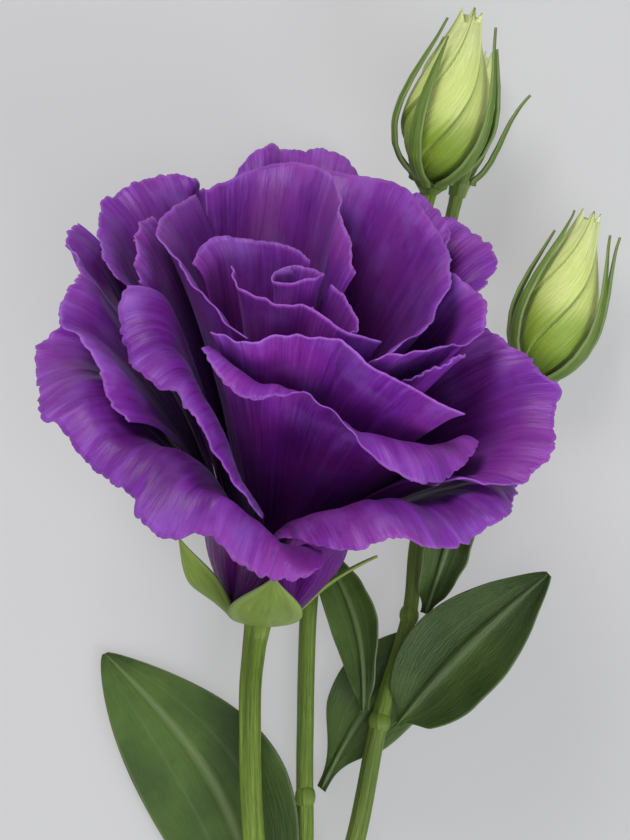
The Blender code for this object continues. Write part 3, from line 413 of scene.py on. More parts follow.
def sepal_sheet(azimuth, foot, tip, length, width, twist, rows, columns):
    """A lance-shaped sepal leaving the cup's rim, its blade turned about its length."""
    t = np.linspace(0, 1, rows)
    slope = np.radians(foot + (tip - foot) * t)[:, None]
    turn = np.radians(twist * np.minimum(1, 2 * t))[:, None]
    step = length / (rows - 1)
    radius = SEPAL_START + running_sum(np.sin(slope), step)
    height = SEPAL_LOW + running_sum(np.cos(slope), step)
    half = (width / 2 * (0.55 + 0.45 * np.sin(math.pi * t ** 0.8)) * (1 - 0.85 * t ** 3))[:, None]
    a = math.radians(azimuth)
    out, side, up = np.array([[math.cos(a), math.sin(a), 0], [-math.sin(a), math.cos(a), 0], [0, 0, 1]])
    outward = np.cos(slope) * out - np.sin(slope) * up
    across = np.cos(turn) * side + np.sin(turn) * outward
    sheet = np.zeros((rows, columns, 3))
    for j, s in enumerate(np.linspace(-1, 1, columns)):
        keel = 0.3 * (1 - s * s) * (1 - t[:, None])
        sheet[:, j] = (radius + keel) * out + height * up + s * half * across
    return sheet


# foot and tip of the bud, its girth, and for each sepal: direction at the foot and at the tip, length,
# width and how far the tip stands off
BUDS = {
    "Bud_Left": dict(foot=(25.2, 60.6, 9.5), tip=(30.6, 84.6, 21.2), girth=6.3, sepals=(
        (188, 190, 27, 2.2, 0.4), (238, 226, 25, 2.6, 0.4), (296, 348, 27, 2.4, 1.4), (10, 10, 23, 2.2, 1.2),
        (122, 120, 22, 2.2, 0.6))),
    "Bud_Third": dict(foot=(29.6, 60.4, 4.27), tip=(34.2, 80.0, 4.27), girth=3.0, sepals=(
        (352, 340, 16, 1.7, 5.0), (64, 62, 13, 1.6, 0.3), (136, 134, 13, 1.6, 0.3), (208, 206, 14, 1.6, 0.3),
        (280, 284, 14, 1.6, 0.3))),
    "Bud_Right": dict(foot=(41.0, 30.8, 6.1), tip=(48.9, 55.6, 9.5), girth=5.7, sepals=(
        (210, 214, 27, 2.4, 0.5), (158, 156, 23, 2.2, 1.0), (312, 344, 25, 2.4, 1.0), (20, 8, 25, 2.2, 2.6),
        (92, 92, 21, 2.2, 0.3))),
}
BUD_SHAPE = ((0.0, 0.30), (0.04, 0.5), (0.09, 0.68), (0.18, 0.88), (0.3, 0.99), (0.36, 1.0), (0.46, 0.96),
             (0.6, 0.82), (0.74, 0.62), (0.87, 0.42), (1.0, 0.26))
BUD_FOOT = 1.7            # the wrapped petals begin this far above the bud's cup
SEPAL_FOOT = 0.9          # the sepals leave the cup's side at this height
BUD_PETALS = 5
BUD_TWIST = math.radians(-140)
BUD_RELIEF = 0.09


def bud_radius(t, girth):
    """Radius of the bud at a share t of its length."""
    shares, radii = zip(*BUD_SHAPE)
    return girth * float(np.interp(t, shares, radii))


def bud_length(bud):
    return (Vector(bud["tip"]) - Vector(bud["foot"])).length


def bud_sepal_sheet(bud, start, end, length, width, stand_off, rows, columns):
    """A narrow sepal hugging the bud, its tip standing off."""
    whole = bud_length(bud)
    shares = np.linspace(0, 1, rows)
    sheet = np.zeros((rows, columns, 3))
    for i, t in enumerate(shares):
        height = SEPAL_FOOT + t * (length - SEPAL_FOOT)
        share = max(0.0, height - BUD_FOOT) / (whole - BUD_FOOT)
        hug = bud_radius(min(share, 1.0), bud["girth"]) * (1 + BUD_RELIEF * 0.4)
        radius = hug + GAP + SEPAL_THICKNESS * 0.8 + stand_off * t ** 3
        middle = math.radians(start + (end - start) * t)
        half = width / 2 * (1 - 0.75 * t ** 1.5)
        for j, s in enumerate(np.linspace(-1, 1, columns)):
            a = middle + s * half / radius
            r = radius + 0.25 * half * (1 - s * s)
            sheet[i, j] = (r * math.cos(a), r * math.sin(a), height)
    return sheet


def bud_place(bud):
    """The bud's own frame: z along the bud, from its foot."""
    axis = (Vector(bud["tip"]) - Vector(bud["foot"])).normalized()
    return Matrix.Translation(stand(*bud["foot"])) @ turn_to(axis)


# ---- meshes ----

# the "side" of a piece that is shaded as an outer face all over, and as a lighter, inner one
OUTER = 1.0
INNER = 0.0


def waviness(positions, period, seed):
    """Smooth random waves (-1..1) of about the given period along a line."""
    knots = np.random.default_rng(seed).uniform(-1, 1, 512)
    t = np.asarray(positions) / period + 7.3
    i = np.floor(t).astype(int)
    f = t - i
    f = f * f * (3 - 2 * f)
    return knots[i % 512] * (1 - f) + knots[(i + 1) % 512] * f


def lobes(positions, width, seed):
    """A row of uneven rounded lobes with sharp notches between them (0..1) along a line."""
    rng = np.random.default_rng(seed)
    ends = np.cumsum(rng.uniform(0.45, 1.6, 400)) * width
    heights = rng.uniform(0.35, 1.0, 401)
    t = np.asarray(positions) + width * 3
    i = np.searchsorted(ends, t)
    start = np.where(i > 0, ends[np.maximum(i - 1, 0)], 0)
    f = (t - start) / (ends[i] - start)
    return heights[i] * np.maximum(np.sin(math.pi * f), 0) ** 0.6


def run_along(points):
    """Distance of each point of a line from its start, along the line."""
    return np.concatenate([[0], np.cumsum(np.linalg.norm(np.diff(points, axis=0), axis=1))])


def eased(values):
    """Smooth step of values clipped to 0..1."""
    t = np.clip(values, 0, 1)
    return t * t * (3 - 2 * t)


def resampled(sheet, rows, columns):
    """The sheet read at fractional rows and columns, smooth between its own points."""
    def weights(positions, count):
        i = np.clip(positions.astype(int), 0, count - 2)
        f = positions - i
        index = np.clip(np.stack([i - 1, i, i + 1, i + 2]), 0, count - 1)
        weight = np.stack([-f ** 3 + 2 * f ** 2 - f, 3 * f ** 3 - 5 * f ** 2 + 2,
                           -3 * f ** 3 + 4 * f ** 2 + f, f ** 3 - f ** 2]) / 2
        return index, weight
    index, weight = weights(rows, sheet.shape[0])
    sheet = sum(sheet[index[k]] * weight[k][:, None, None] for k in range(4))
    index, weight = weights(columns, sheet.shape[1])
    return sum(sheet[:, index[k]] * weight[k][None, :, None] for k in range(4))


def mesh_object(name, points, faces, uvs, side, material, matrix=None):
    """A smooth piece from points (mm), faces, and the growth coordinates and side of every point."""
    points = points * MM
    if matrix is not None:
        turn = np.array(matrix)
        points = points @ turn[:3, :3].T + turn[:3, 3]
    data = bpy.data.meshes.new(name)
    data.from_pydata(points.tolist(), [], faces)
    loops = np.zeros(len(data.loops), dtype=np.int32)
    data.loops.foreach_get("vertex_index", loops)
    layer = data.uv_layers.new(name="grow")
    layer.data.foreach_set("uv", uvs[loops].astype(np.float32).ravel())
    attribute = data.attributes.new("side", "FLOAT", "POINT")
    attribute.data.foreach_set("value", np.full(len(points), side, dtype=np.float32))
    data.polygons.foreach_set("use_smooth", np.ones(len(data.polygons), dtype=bool))
    data.materials.append(material)
    data.validate()
    data.update()
    return placed(name, data)


def placed(name, data):
    """A new object of the scene."""
    obj = bpy.data.objects.new(name, data)
    bpy.context.scene.collection.objects.link(obj)
    return obj


def grid_normals(sheet):
    """Directions square to a sheet, on its outer side."""
    normal = np.cross(np.gradient(sheet, axis=1), np.gradient(sheet, axis=0))
    return normal / np.maximum(np.linalg.norm(normal, axis=-1, keepdims=True), 1e-9)


def thin_blade(sheet, thickness):
    """Points, faces, growth coordinates and side of a blade, made from its middle sheet."""
    rows, columns, _ = sheet.shape
    count = rows * columns
    half = grid_normals(sheet) * (np.broadcast_to(thickness, (rows, columns))[..., None] / 2)
    points = np.concatenate([(sheet + half).reshape(-1, 3), (sheet - half).reshape(-1, 3)])
    index = np.arange(count).reshape(rows, columns)
    top = np.stack([index[:-1, :-1], index[:-1, 1:], index[1:, 1:], index[1:, :-1]], -1).reshape(-1, 4)
    faces = [top, top[:, ::-1] + count]
    ring = np.concatenate([index[0], index[1:, -1], index[-1, -2::-1], index[-2:0:-1, 0]])
    after = np.roll(ring, -1)
    faces.append(np.stack([ring, ring + count, after + count, after], -1))
    u, v = np.meshgrid(np.linspace(0, 1, columns), np.linspace(0, 1, rows))
    uvs = np.tile(np.stack([u, v], -1).reshape(-1, 2), (2, 1))
    side = np.concatenate([np.ones(count), np.zeros(count)])
    return points, np.concatenate(faces).tolist(), uvs, side


# ---- petals ----

RIM_THICKNESS = 0.2
BODY_THICKNESS = PETAL_THICKNESS * 0.75
# columns and rows of each ring's petals, and how strongly they are scalloped, ruffled and pleated
RINGS = {"Heart": (111, 50, 0.35, 0.22, 0.12), "Inner": (131, 56, 0.5, 0.35, 0.2),
         "Middle": (151, 56, 0.75, 0.6, 0.3), "Outer": (171, 58, 1.0, 0.9, 0.4)}
ROWS_TO_RIM = 0.8         # below 1, the rows lie closer together towards the rim
# how far each feature reaches in from the rim
SCALLOP_REACH = 6
RUFFLE_REACH = 9
CRUMPLE_REACH = 5
CORNER = 4                # the rim's waves fade over this run at its two ends
# where the soft pleats are strongest and how far they spread
FOLDS = (8, 13)
BROAD_FOLDS = (14, 18)


def ruffled(sheet, number, ring):
    """A petal's seated sheet with its scalloped, ruffled rim and the soft pleats of its blade."""
    columns, row_count, scallop, ruffle, pleat = RINGS[ring]
    rows = np.linspace(0, 1, row_count) ** ROWS_TO_RIM * (sheet.shape[0] - 1)
    sheet = resampled(sheet, rows, np.linspace(0, sheet.shape[1] - 1, columns))
    rim = run_along(sheet[-1])
    run = run_along(sheet[:, columns // 2])
    from_rim = (run[-1] - run)[:, None]
    edge = (0.75 * lobes(rim, 2.8, number) + 0.3 * lobes(rim, 1.1, number + 50)
            + 0.5 * waviness(rim, 7.0, number + 90) - 0.6)
    along = np.gradient(sheet, axis=0)
    along /= np.maximum(np.linalg.norm(along, axis=-1, keepdims=True), 1e-9)
    sheet = sheet + along * (scallop * edge[None, :] * eased(1 - from_rim / SCALLOP_REACH))[..., None]
    wave = 0.7 * waviness(rim, 4.6, number + 11) + 0.4 * waviness(rim, 2.3, number + 23)
    lift = ruffle * wave[None, :] * eased(1 - from_rim / RUFFLE_REACH) ** 2
    crumple = waviness(rim, 1.2, number + 61)[None, :] * eased(1 - from_rim / CRUMPLE_REACH)
    folds = waviness(rim, 3.4, number + 31)[None, :] * eased(1 - abs(from_rim - FOLDS[0]) / FOLDS[1])
    broad = waviness(rim, 9.0, number + 37)[None, :]
    broad = broad * eased(1 - abs(from_rim - BROAD_FOLDS[0]) / BROAD_FOLDS[1])
    lift = lift + pleat * (0.35 * crumple + 0.7 * folds + 1.3 * broad)
    lift = lift * (0.35 + 0.65 * eased(np.minimum(rim, rim[-1] - rim) / CORNER)[None, :])
    return sheet + grid_normals(sheet) * lift[..., None]


def build_petals(materials):
    for number, (name, sheet) in enumerate(seat_petals().items()):
        fine = ruffled(sheet, number, name.split("_")[1])
        rows, columns, _ = fine.shape
        v = np.linspace(0, 1, rows)[:, None]
        u = abs(np.linspace(-1, 1, columns))[None, :]
        inside = eased((1 - v) * 7) * eased((1 - u) * 12)
        thick = RIM_THICKNESS + (BODY_THICKNESS - RIM_THICKNESS) * inside
        piece = mesh_object("P_" + name, *thin_blade(fine, thick), materials["petal"], bloom_place())
        add(piece, name)


# ---- leaves ----

LEAF_FINE_ROWS = 90
LEAF_FINE_COLUMNS = 36


def build_leaves(materials):
    for number, (name, leaf) in enumerate(LEAVES.items()):
        sheet = leaf_sheet(leaf, LEAF_FINE_ROWS, LEAF_FINE_COLUMNS)
        rows, columns, _ = sheet.shape
        t = np.linspace(0, 1, rows)[:, None]
        s = np.linspace(-1, 1, columns)[None, :]
        along = np.linspace(0, 60, rows)
        # slow ripples of the margin, a groove over the midrib and a fainter one on each side of it
        ripple = 0.35 * waviness(along, 9, number + 3)[:, None] * abs(s) ** 2 * np.sign(s)
        ripple = ripple + 0.25 * waviness(along, 6, number + 9)[:, None] * abs(s) ** 2
        groove = -0.35 * np.exp(-(s / 0.07) ** 2) - 0.06 * np.exp(-((abs(s) - 0.42) / 0.05) ** 2)
        sheet = sheet + grid_normals(sheet) * ((ripple + groove) * np.sin(math.pi * t))[..., None]
        thick = 0.25 + 0.35 * eased((1 - abs(s)) * 5) + 0.9 * np.exp(-(s / 0.09) ** 2) * (1 - t) ** 0.7
        piece = mesh_object("P_" + name, *thin_blade(sheet, thick), materials["leaf"])
        add(piece, name)


# ---- stems ----

STEM_SIDES = 40
STALK_REACH = 0.9         # how far a stalk's end runs on into its calyx


def tube(points, steps, ribs, depth):
    """Points, faces and growth coordinates of a ribbed stalk through rows of (x, y, z, radius)."""
    path = np.array(smooth_path(points, steps))
    centre, radius = path[:, :3], path[:, 3]
    tangent = np.gradient(centre, axis=0)
    tangent /= np.linalg.norm(tangent, axis=1, keepdims=True)
    side = np.cross(tangent, np.array([0, 0, 1.0]))
    side /= np.linalg.norm(side, axis=1, keepdims=True)
    over = np.cross(side, tangent)
    a = np.linspace(0, 2 * math.pi, STEM_SIDES, endpoint=False)
    run = run_along(centre)
    shape = 1 + depth * (np.abs(np.sin(a * ribs / 2)) ** 0.7 - 0.7)[None, :]
    shape = shape + 0.03 * waviness(run, 5.0, 5)[:, None] * np.cos(a + 1)[None, :]
    ring = (np.cos(a)[None, :, None] * side[:, None] + np.sin(a)[None, :, None] * over[:, None])
    points = centre[:, None] + ring * (radius[:, None] * shape)[..., None]
    rows = len(path)
    index = np.arange(rows * STEM_SIDES).reshape(rows, STEM_SIDES)
    nxt = np.roll(index, -1, axis=1)
    faces = np.stack([index[:-1], index[1:], nxt[1:], nxt[:-1]], -1).reshape(-1, 4).tolist()
    faces = [f[::-1] for f in faces]
    faces.append(index[0].tolist())
    faces.append(index[-1].tolist()[::-1])
    uvs = np.stack(np.broadcast_arrays((a / (2 * math.pi))[None, :], run[:, None]), -1).reshape(-1, 2)
    return points.reshape(-1, 3), faces, uvs


def gather(parts):
    """Several (points, faces, growth coordinates) as one."""
    points, faces, uvs, start = [], [], [], 0
    for p, f, uv in parts:
        points.append(p)
        faces += [[k + start for k in face] for face in f]
        uvs.append(uv)
        start += len(p)
    return np.concatenate(points), faces, np.concatenate(uvs)


def swelling(centre, size):
    """A smooth swelling where stalks meet, drawn as a short fat tube."""
    x, y, z = centre
    sx, sy, sz = size
    rows = [(x, y - sy * math.cos(t), z, (sx + sz) / 2 * math.sin(t))
            for t in np.linspace(0.02, math.pi - 0.02, 17)]
    return tube(rows, 1, 6, 0.05)


def into_calyx(rows):
    """A stalk's rows with one more, which runs on into the foot of its calyx."""
    *_, before, last = (np.array(row, float) for row in rows)
    along = (last - before)[:3]
    along *= STALK_REACH / np.linalg.norm(along)
    return list(rows) + [(*(last[:3] + along), last[3])]


# rows of each stalk, steps between two rows, number of its ribs and their depth
STALKS = ((MAIN_STEM, 24, 6, 0.12), (into_calyx(BLOOM_STEM), 14, 6, 0.22),
          (into_calyx(LEFT_BUD_STEM), 12, 5, 0.12), (into_calyx(RIGHT_BUD_STEM), 12, 5, 0.1),
          (into_calyx(THIRD_BUD_STEM), 14, 5, 0.1))


def build_stem(materials):
    parts = [tube(*stalk) for stalk in STALKS] + [swelling(centre, size) for centre, size in KNOBS]
    points, faces, uvs = gather(parts)
    points = points + np.array([STAND_X, STAND_Y, STAND_Z])
    piece = mesh_object("P_Stem", points, faces, uvs, OUTER, materials["stem"])
    add(piece, "Stem")


# ---- calyces and buds ----

LATHE_ROWS = 24
CUP_SIDES = 40
PISTIL_SIDES = 16


def build_bloom_calyx(materials):
    parts = [lathe(CUP, CUP_SIDES), lathe(PISTIL, PISTIL_SIDES)]
    for row in BLOOM_SEPALS:
        parts.append(sepal_blade(sepal_sheet(*row, rows=40, columns=13)))
    finish_calyx("Calyx_Bloom", parts, bloom_place(), materials, INNER)


def barrel(rows, sides):
    """Point numbers, those of their neighbours round, and faces of a round wall closed below."""
    index = np.arange(rows * sides).reshape(rows, sides)
    after = np.roll(index, -1, axis=1)
    faces = np.stack([index[:-1], after[:-1], after[1:], index[1:]], -1).reshape(-1, 4).tolist()
    faces.append(index[0].tolist()[::-1])
    return index, after, faces


def lathe(profile, sides):
    """A turned body of (height, radius) pairs about z, rounded between them."""
    profile = np.array(profile, float)
    run = run_along(profile)
    fine = np.linspace(0, run[-1], LATHE_ROWS)
    h, r = (np.interp(fine, run, column) for column in profile.T)
    a = np.linspace(0, 2 * math.pi, sides, endpoint=False)
    points = np.stack(np.broadcast_arrays(r[:, None] * np.cos(a), r[:, None] * np.sin(a), h[:, None]), -1)
    index, _, faces = barrel(LATHE_ROWS, sides)
    faces.append(index[-1].tolist())
    uvs = np.stack(np.broadcast_arrays((a / (2 * math.pi))[None, :], (fine / run[-1] * 0.1)[:, None]), -1)
    return points.reshape(-1, 3), faces, uvs.reshape(-1, 2)


def sepal_blade(sheet):
    """A sepal from its middle sheet: drawn to a point and thinner towards its edges and tip."""
    rows, columns, _ = sheet.shape
    s = abs(np.linspace(-1, 1, columns))[None, :]
    t = np.linspace(0, 1, rows)[:, None]
    middle = sheet[:, columns // 2][:, None]
    sheet = middle + (sheet - middle) * (1 - 0.85 * t ** 7)[..., None]
    thick = SEPAL_THICKNESS * (0.45 + 0.55 * (1 - s) ** 0.8) * (1 - 0.5 * t ** 3)
    return thin_blade(sheet, thick)[:3]


def finish_calyx(name, parts, matrix, materials, side=OUTER):
    piece = mesh_object("P_" + name, *gather(parts), side, materials["sepal"], matrix)
    add(piece, name)


BUD_FINE_SIDES = 160
BUD_FINE_ROWS = 90
BUD_EDGE = 0.93           # each wrapped petal swells over this share of its turn, then steps down
BUD_CROWN = 0.05          # height of the free tips, as a share of the bud's length


def bud_body(bud):
    """Points, faces and growth coordinates of a bud's wrapped, twisted petals, open at the tip."""
    length = bud_length(bud)
    t = np.linspace(0, 1, BUD_FINE_ROWS)
    a = np.linspace(0, 2 * math.pi, BUD_FINE_SIDES, endpoint=False)
    tt, aa = np.meshgrid(t, a, indexing="ij")
    phase = ((aa + tt * BUD_TWIST) * BUD_PETALS / (2 * math.pi)) % 1.0
    step = np.where(phase < BUD_EDGE, phase, (1 - phase) / (1 - BUD_EDGE) * BUD_EDGE)
    fade = np.minimum(1.0, tt * 5)
    shape = np.interp(t, *zip(*BUD_SHAPE))
    shape = np.convolve(np.pad(shape, 3, mode="edge"), np.ones(7) / 7, mode="valid")
    radius = bud["girth"] * shape[:, None] * (1 + BUD_RELIEF * (step - 0.4) * fade)
    radius = radius * (1 + 0.012 * waviness(tt * 9 + phase * 2, 1.0, 3))
    tips = np.maximum(0.0, np.cos((aa + tt * BUD_TWIST) * BUD_PETALS)) * tt ** 6
    height = BUD_FOOT + tt * (length - BUD_FOOT) + BUD_CROWN * length * tips
    points = np.stack([radius * np.cos(aa), radius * np.sin(aa), height], -1).reshape(-1, 3)
    index, after, faces = barrel(BUD_FINE_ROWS, BUD_FINE_SIDES)
    hollow = len(points)
    points = np.vstack([points, [[0, 0, length * 0.93]]])
    faces += [[int(a), int(b), hollow] for a, b in zip(index[-1], after[-1])]
    uvs = np.vstack([np.stack([phase, tt], -1).reshape(-1, 2), [[0.5, 1.0]]])
    return points, faces, uvs


def build_buds(materials):
    for name, bud in BUDS.items():
        place = bud_place(bud)
        piece = mesh_object("P_" + name, *bud_body(bud), OUTER, materials["bud"], place)
        add(piece, name)
        wide = bud["girth"] * BUD_SHAPE[0][1] + GAP + SEPAL_THICKNESS * 0.8
        parts = [lathe(((-1.2, 1.3), (0.0, wide * 0.8), (BUD_FOOT - GAP, wide)), CUP_SIDES)]
        for row in bud["sepals"]:
            parts.append(sepal_blade(bud_sepal_sheet(bud, *row, rows=46, columns=11)))
        finish_calyx(name.replace("Bud", "Calyx"), parts, place, materials)


# ---- materials ----

class Shades:
    """Adds and joins the nodes of one material."""

    def __init__(self, name, roughness, gloss):
        self.material = bpy.data.materials.new(name)
        self.material.use_nodes = True
        self.tree = self.material.node_tree
        self.shader = self.tree.nodes["Principled BSDF"]
        self.fix("Roughness", roughness)
        self.fix("Specular IOR Level", gloss)

    def node(self, kind, **settings):
        made = self.tree.nodes.new(kind)
        for key, value in settings.items():
            setattr(made, key, value)
        return made

    def put(self, socket, value):
        if hasattr(value, "is_linked"):
            self.tree.links.new(value, socket)
        else:
            socket.default_value = value

    def math(self, operation, a, b=0.0, clamp=False):
        made = self.node("ShaderNodeMath", operation=operation, use_clamp=clamp)
        self.put(made.inputs[0], a)
        self.put(made.inputs[1], b)
        return made.outputs[0]

    def times(self, a, b, clamp=False):
        return self.math("MULTIPLY", a, b, clamp)

    def plus(self, a, b):
        return self.math("ADD", a, b)

    def minus(self, a, b):
        return self.math("SUBTRACT", a, b)

    def ramp(self, value, stops):
        made = self.node("ShaderNodeValToRGB")
        made.color_ramp.interpolation = "EASE"
        elements = made.color_ramp.elements
        while len(elements) < len(stops):
            elements.new(0.5)
        for element, (position, shade) in zip(elements, stops):
            element.position = position
            shade = (shade, shade, shade) if isinstance(shade, (int, float)) else shade
            element.color = (*shade, 1)
        self.put(made.inputs[0], value)
        return made.outputs[0]

    def mix(self, factor, a, b):
        made = self.node("ShaderNodeMix", data_type="RGBA")
        self.put(made.inputs[0], factor)
        for socket, colour in zip(made.inputs[6:8], (a, b)):
            self.put(socket, (*colour, 1) if isinstance(colour, tuple) else colour)
        return made.outputs[2]

    def scaled(self, colour, factor):
        made = self.node("ShaderNodeVectorMath", operation="SCALE")
        self.put(made.inputs[0], colour)
        self.put(made.inputs["Scale"], factor)
        return made.outputs[0]

    def grow(self):
        """The growth coordinates: across the blade and from its foot to its rim."""
        made = self.node("ShaderNodeUVMap", uv_map="grow")
        split = self.node("ShaderNodeSeparateXYZ")
        self.put(split.inputs[0], made.outputs[0])
        return split.outputs[0], split.outputs[1]

    def cloudy(self, place, scale, detail, roughness):
        made = self.node("ShaderNodeTexNoise")
        self.put(made.inputs["Vector"], place)
        made.inputs["Scale"].default_value = scale
        made.inputs["Detail"].default_value = detail
        made.inputs["Roughness"].default_value = roughness
        return made.outputs[0]

    def noise(self, x, x_scale, y, y_scale, detail=3.0, offset=0.0):
        """Noise over two coordinates, each stretched by its own scale."""
        join = self.node("ShaderNodeCombineXYZ")
        self.put(join.inputs[0], self.times(x, x_scale))
        self.put(join.inputs[1], self.times(y, y_scale))
        self.put(join.inputs[2], offset)
        return self.cloudy(join.outputs[0], 1.0, detail, 0.55)

    def blotches(self, scale, detail=2.0):
        """Noise through the whole piece."""
        return self.cloudy(self.node("ShaderNodeTexCoord").outputs["Object"], scale, detail, 0.5)

    def side(self):
        """1 on a blade's outer face, 0 on its inner face."""
        return self.node("ShaderNodeAttribute", attribute_name="side").outputs["Fac"]

    def bump(self, height, distance):
        made = self.node("ShaderNodeBump")
        made.inputs["Strength"].default_value = 1.0
        made.inputs["Distance"].default_value = distance
        self.put(made.inputs["Height"], height)
        self.put(self.shader.inputs["Normal"], made.outputs[0])

    def colour(self, value):
        self.put(self.shader.inputs["Base Color"], value)

    def fix(self, name, value):
        """Sets one of the surface's constants."""
        self.shader.inputs[name].default_value = value


def petal_material():
    m = Shades("petal_violet", 0.46, 0.25)
    u, v = m.grow()
    seed = m.times(m.node("ShaderNodeObjectInfo").outputs["Random"], 37.0)
    fan = m.noise(u, 32.0, v, 3.2, 4.0, seed)
    fine = m.noise(u, 110.0, v, 6.0, 3.0, seed)
    cloud = m.blotches(60.0)
    # blotches that place the painted highlights on the lips
    highlight_blotches = m.blotches(130.0, 3.0)
    toward_rim = m.ramp(v, ((0.25, 0.0), (0.62, 0.3), (0.86, 0.72), (1.0, 1.0)))
    # the ground colour: streaks along the blade, broad clouds, lighter towards the rim
    tone = m.plus(m.times(fan, 0.46), m.times(fine, 0.24))
    tone = m.plus(tone, m.times(toward_rim, 0.34))
    tone = m.plus(tone, m.times(cloud, 0.50))
    base = m.ramp(m.times(tone, 0.75, True),
                  ((0.34, (0.066, 0.003, 0.098)), (0.52, (0.120, 0.008, 0.195)),
                   (0.66, (0.180, 0.022, 0.320)), (0.80, (0.275, 0.070, 0.49))))
    rosy = m.ramp(cloud, ((0.42, 0.0), (0.64, 0.7)))
    base = m.mix(rosy, base, m.mix(toward_rim, (0.140, 0.0060, 0.155), (0.230, 0.024, 0.285)))
    vein = m.ramp(m.math("ABSOLUTE", m.minus(fan, 0.5)), ((0.0, 1.0), (0.035, 0.0)))
    base = m.mix(m.times(vein, 0.26), base, (0.055, 0.003, 0.100))
    # painted highlight: pale bluish-lilac blotches towards the rim stand in for the gloss highlights of lit
    # crests
    crest_highlight = m.times(m.ramp(highlight_blotches, ((0.48, 0.0), (0.72, 1.0))), toward_rim)
    base = m.mix(m.times(crest_highlight, 0.34), base, (0.30, 0.14, 0.60))
    rim = m.ramp(v, ((0.988, 0.0), (0.998, 0.32)))
    base = m.mix(rim, base, (0.36, 0.14, 0.50))
    # painted shade: inner faces are darkened more and more towards the claw, where the cup lies in shade;
    # outer faces are drawn 1.22 times lighter
    inner_face_shade = m.ramp(v, ((0.35, 0.46), (0.75, 0.56), (0.90, 0.76), (1.0, 0.90)))
    depth = m.plus(m.times(inner_face_shade, m.minus(1.0, m.side())),
                   m.times(m.side(), 1.22))
    m.colour(m.scaled(base, depth))
    m.bump(m.plus(m.times(cloud, 1.2), m.times(fan, 1.4)), 0.00030)
    m.fix("Sheen Weight", 0.07)
    m.fix("Sheen Roughness", 0.4)
    m.fix("Sheen Tint", (0.62, 0.5, 1.0, 1))
    return m.material


def leaf_material():
    m = Shades("leaf_green", 0.48, 0.3)
    u, v = m.grow()
    across_leaf = m.math("ABSOLUTE", m.minus(u, 0.5))
    cloud = m.blotches(90.0, 4.0)
    grain = m.noise(u, 60.0, v, 14.0, 3.0)
    base = m.ramp(cloud, ((0.3, (0.026, 0.058, 0.008)), (0.7, (0.072, 0.130, 0.020))))
    base = m.mix(m.times(grain, 0.35), base, (0.075, 0.13, 0.035))
    midrib = m.ramp(across_leaf, ((0.0, 1.0), (0.022, 0.6), (0.05, 0.0)))
    base = m.mix(m.times(midrib, 0.55), base, (0.17, 0.23, 0.10))
    vein = m.ramp(m.math("ABSOLUTE", m.minus(across_leaf, 0.21)), ((0.0, 1.0), (0.02, 0.0)))
    base = m.mix(m.times(vein, 0.22), base, (0.12, 0.18, 0.07))
    edge = m.ramp(across_leaf, ((0.475, 0.0), (0.497, 0.6)))
    base = m.mix(edge, base, (0.15, 0.2, 0.09))
    m.colour(base)
    m.bump(m.plus(grain, m.times(cloud, 0.8)), 0.00018)
    return m.material


def stem_material():
    m = Shades("stem_green", 0.42, 0.3)
    u, v = m.grow()
    streak = m.noise(u, 22.0, v, 0.06, 4.0)
    fine = m.noise(u, 70.0, v, 0.4, 2.0)
    base = m.ramp(m.plus(m.times(streak, 0.7), m.times(fine, 0.3)),
                  ((0.3, (0.065, 0.115, 0.012)), (0.5, (0.145, 0.225, 0.028)), (0.72, (0.28, 0.37, 0.075))))
    base = m.mix(m.ramp(m.blotches(45.0), ((0.45, 0.0), (0.75, 0.35))), base, (0.07, 0.10, 0.025))
    m.colour(base)
    m.bump(m.plus(streak, m.times(fine, 0.5)), 0.00022)
    return m.material


def sepal_material():
    m = Shades("sepal_green", 0.5, 0.3)
    u, v = m.grow()
    across_blade = m.math("ABSOLUTE", m.minus(u, 0.5))
    streak = m.noise(u, 9.0, v, 3.0, 4.0)
    base = m.ramp(streak, ((0.3, (0.055, 0.105, 0.016)), (0.55, (0.110, 0.180, 0.026)),
                           (0.75, (0.22, 0.31, 0.05))))
    edge = m.ramp(across_blade, ((0.30, 0.0), (0.48, 0.6)))
    base = m.mix(edge, base, (0.24, 0.32, 0.12))
    base = m.mix(m.ramp(v, ((0.85, 0.0), (1.0, 0.5))), base, (0.16, 0.17, 0.06))
    light = m.times(m.minus(1.0, m.side()), 0.34)
    base = m.mix(light, base, (0.36, 0.47, 0.08))
    m.colour(base)
    m.bump(streak, 0.00015)
    return m.material


def bud_material():
    m = Shades("bud_green", 0.45, 0.4)
    fold, v = m.grow()
    streak = m.noise(fold, 9.0, v, 2.0, 4.0)
    fine = m.noise(fold, 38.0, v, 3.0, 2.0)
    low = m.ramp(v, ((0.0, 0.0), (0.3, 0.38), (0.62, 0.75), (1.0, 1.0)))
    base = m.ramp(m.plus(m.times(low, 0.72), m.times(streak, 0.30)),
                  ((0.12, (0.09, 0.155, 0.008)), (0.40, (0.22, 0.33, 0.030)), (0.66, (0.54, 0.62, 0.19)),
                   (0.98, (0.69, 0.75, 0.34))))
    crease = m.ramp(fold, ((0.0, 0.6), (0.04, 0.0), (0.88, 0.0), (0.93, 0.25), (0.96, 0.8)))
    base = m.mix(crease, base, (0.22, 0.31, 0.05))
    base = m.mix(m.times(m.ramp(fine, ((0.5, 0.0), (0.8, 1.0))), 0.28), base, (0.30, 0.40, 0.08))
    m.colour(base)
    m.bump(m.plus(streak, fine), 0.00022)
    m.fix("Subsurface Weight", 0.12)
    m.fix("Subsurface Radius", (0.9, 1.0, 0.4))
    m.fix("Subsurface Scale", 0.0015)
    return m.material


def floor_material():
    m = Shades("floor_grey", 0.9, 0.1)
    grain = m.blotches(14.0, 3.0)
    m.colour(m.mix(grain, (0.190, 0.190, 0.193), (0.198, 0.198, 0.201)))
    m.fix("Emission Color", (0.99, 0.99, 1.0, 1))
    m.fix("Emission Strength", FLOOR_GLOW)
    return m.material


# ---- stage ----

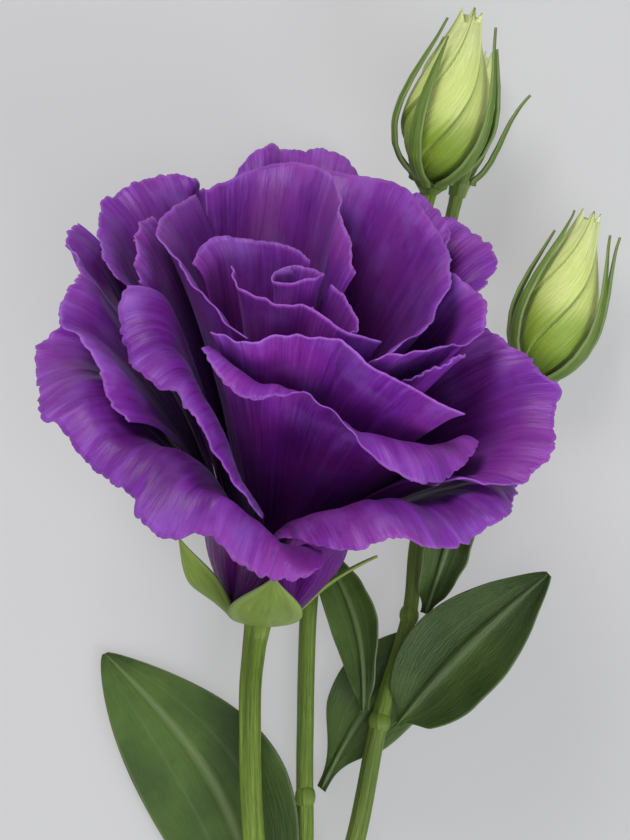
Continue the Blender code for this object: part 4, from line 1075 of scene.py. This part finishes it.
CAMERA_HEIGHT = 700.0
CAMERA_X = 7.95           # what the camera looks at, from the receptacle
CAMERA_Y = 25.5
CAMERA_LENS = 200.0
SENSOR_WIDTH = 36
FLOOR_REACH = 3.0         # metres
FLOOR_BELOW = 0.0003
LIGHTS_AIM = (0, 0.02, 0.02)
# strength of the even sky and of the floor's own glow, and each lamp's place, width, power and colour
SKY = 0.33
FLOOR_GLOW = 0.378
LIGHTS = {
    "Key": ((-1.1, 2.8, 2.7), 1.9, 132.0, (1.0, 0.985, 0.975)),
    "Over": ((0.3, -0.6, 3.0), 2.0, 22.0, (0.97, 0.98, 1.0)),
    "Fill": ((1.6, -1.8, 1.7), 1.6, 48.0, (0.95, 0.97, 1.0)),
}


def add(piece, node):
    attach(piece, "root")
    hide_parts(node)


def build_floor():
    r = FLOOR_REACH
    data = bpy.data.meshes.new("Floor")
    data.from_pydata([(-r, -r, 0), (r, -r, 0), (r, r, 0), (-r, r, 0)], [], [(0, 1, 2, 3)])
    data.materials.append(floor_material())
    floor = placed("Floor", data)
    floor.location.z = -FLOOR_BELOW


def build_lights():
    """An even sky and three large soft lamps."""
    world = bpy.data.worlds.new("Studio")
    bpy.context.scene.world = world
    world.use_nodes = True
    sky = world.node_tree.nodes["Background"]
    sky.inputs[0].default_value = (0.93, 0.96, 1.0, 1)
    sky.inputs[1].default_value = SKY
    for name, (place, size, power, colour) in LIGHTS.items():
        lamp = bpy.data.lights.new(name, "AREA")
        lamp.shape = "DISK"
        lamp.size = size
        lamp.energy = power
        lamp.color = colour
        light = placed(name, lamp)
        light.location = place
        aim = Vector(LIGHTS_AIM) - Vector(place)
        light.rotation_euler = aim.to_track_quat("-Z", "Y").to_euler()


def build_camera():
    """A long lens looking straight down."""
    data = bpy.data.cameras.new("Camera")
    data.lens = CAMERA_LENS
    data.sensor_width = SENSOR_WIDTH
    data.clip_start = 0.05
    data.clip_end = 10
    camera = placed("Camera", data)
    camera.location = stand(CAMERA_X, CAMERA_Y, BLOOM_HEIGHT + CAMERA_HEIGHT)
    bpy.context.scene.camera = camera
    bpy.context.scene.view_settings.view_transform = "Standard"


def build():
    materials = {"petal": petal_material(), "leaf": leaf_material(), "stem": stem_material(),
                 "sepal": sepal_material(), "bud": bud_material()}
    build_petals(materials)
    build_leaves(materials)
    build_stem(materials)
    build_bloom_calyx(materials)
    build_buds(materials)
    build_floor()
    build_lights()
    build_camera()


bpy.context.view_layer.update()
build()
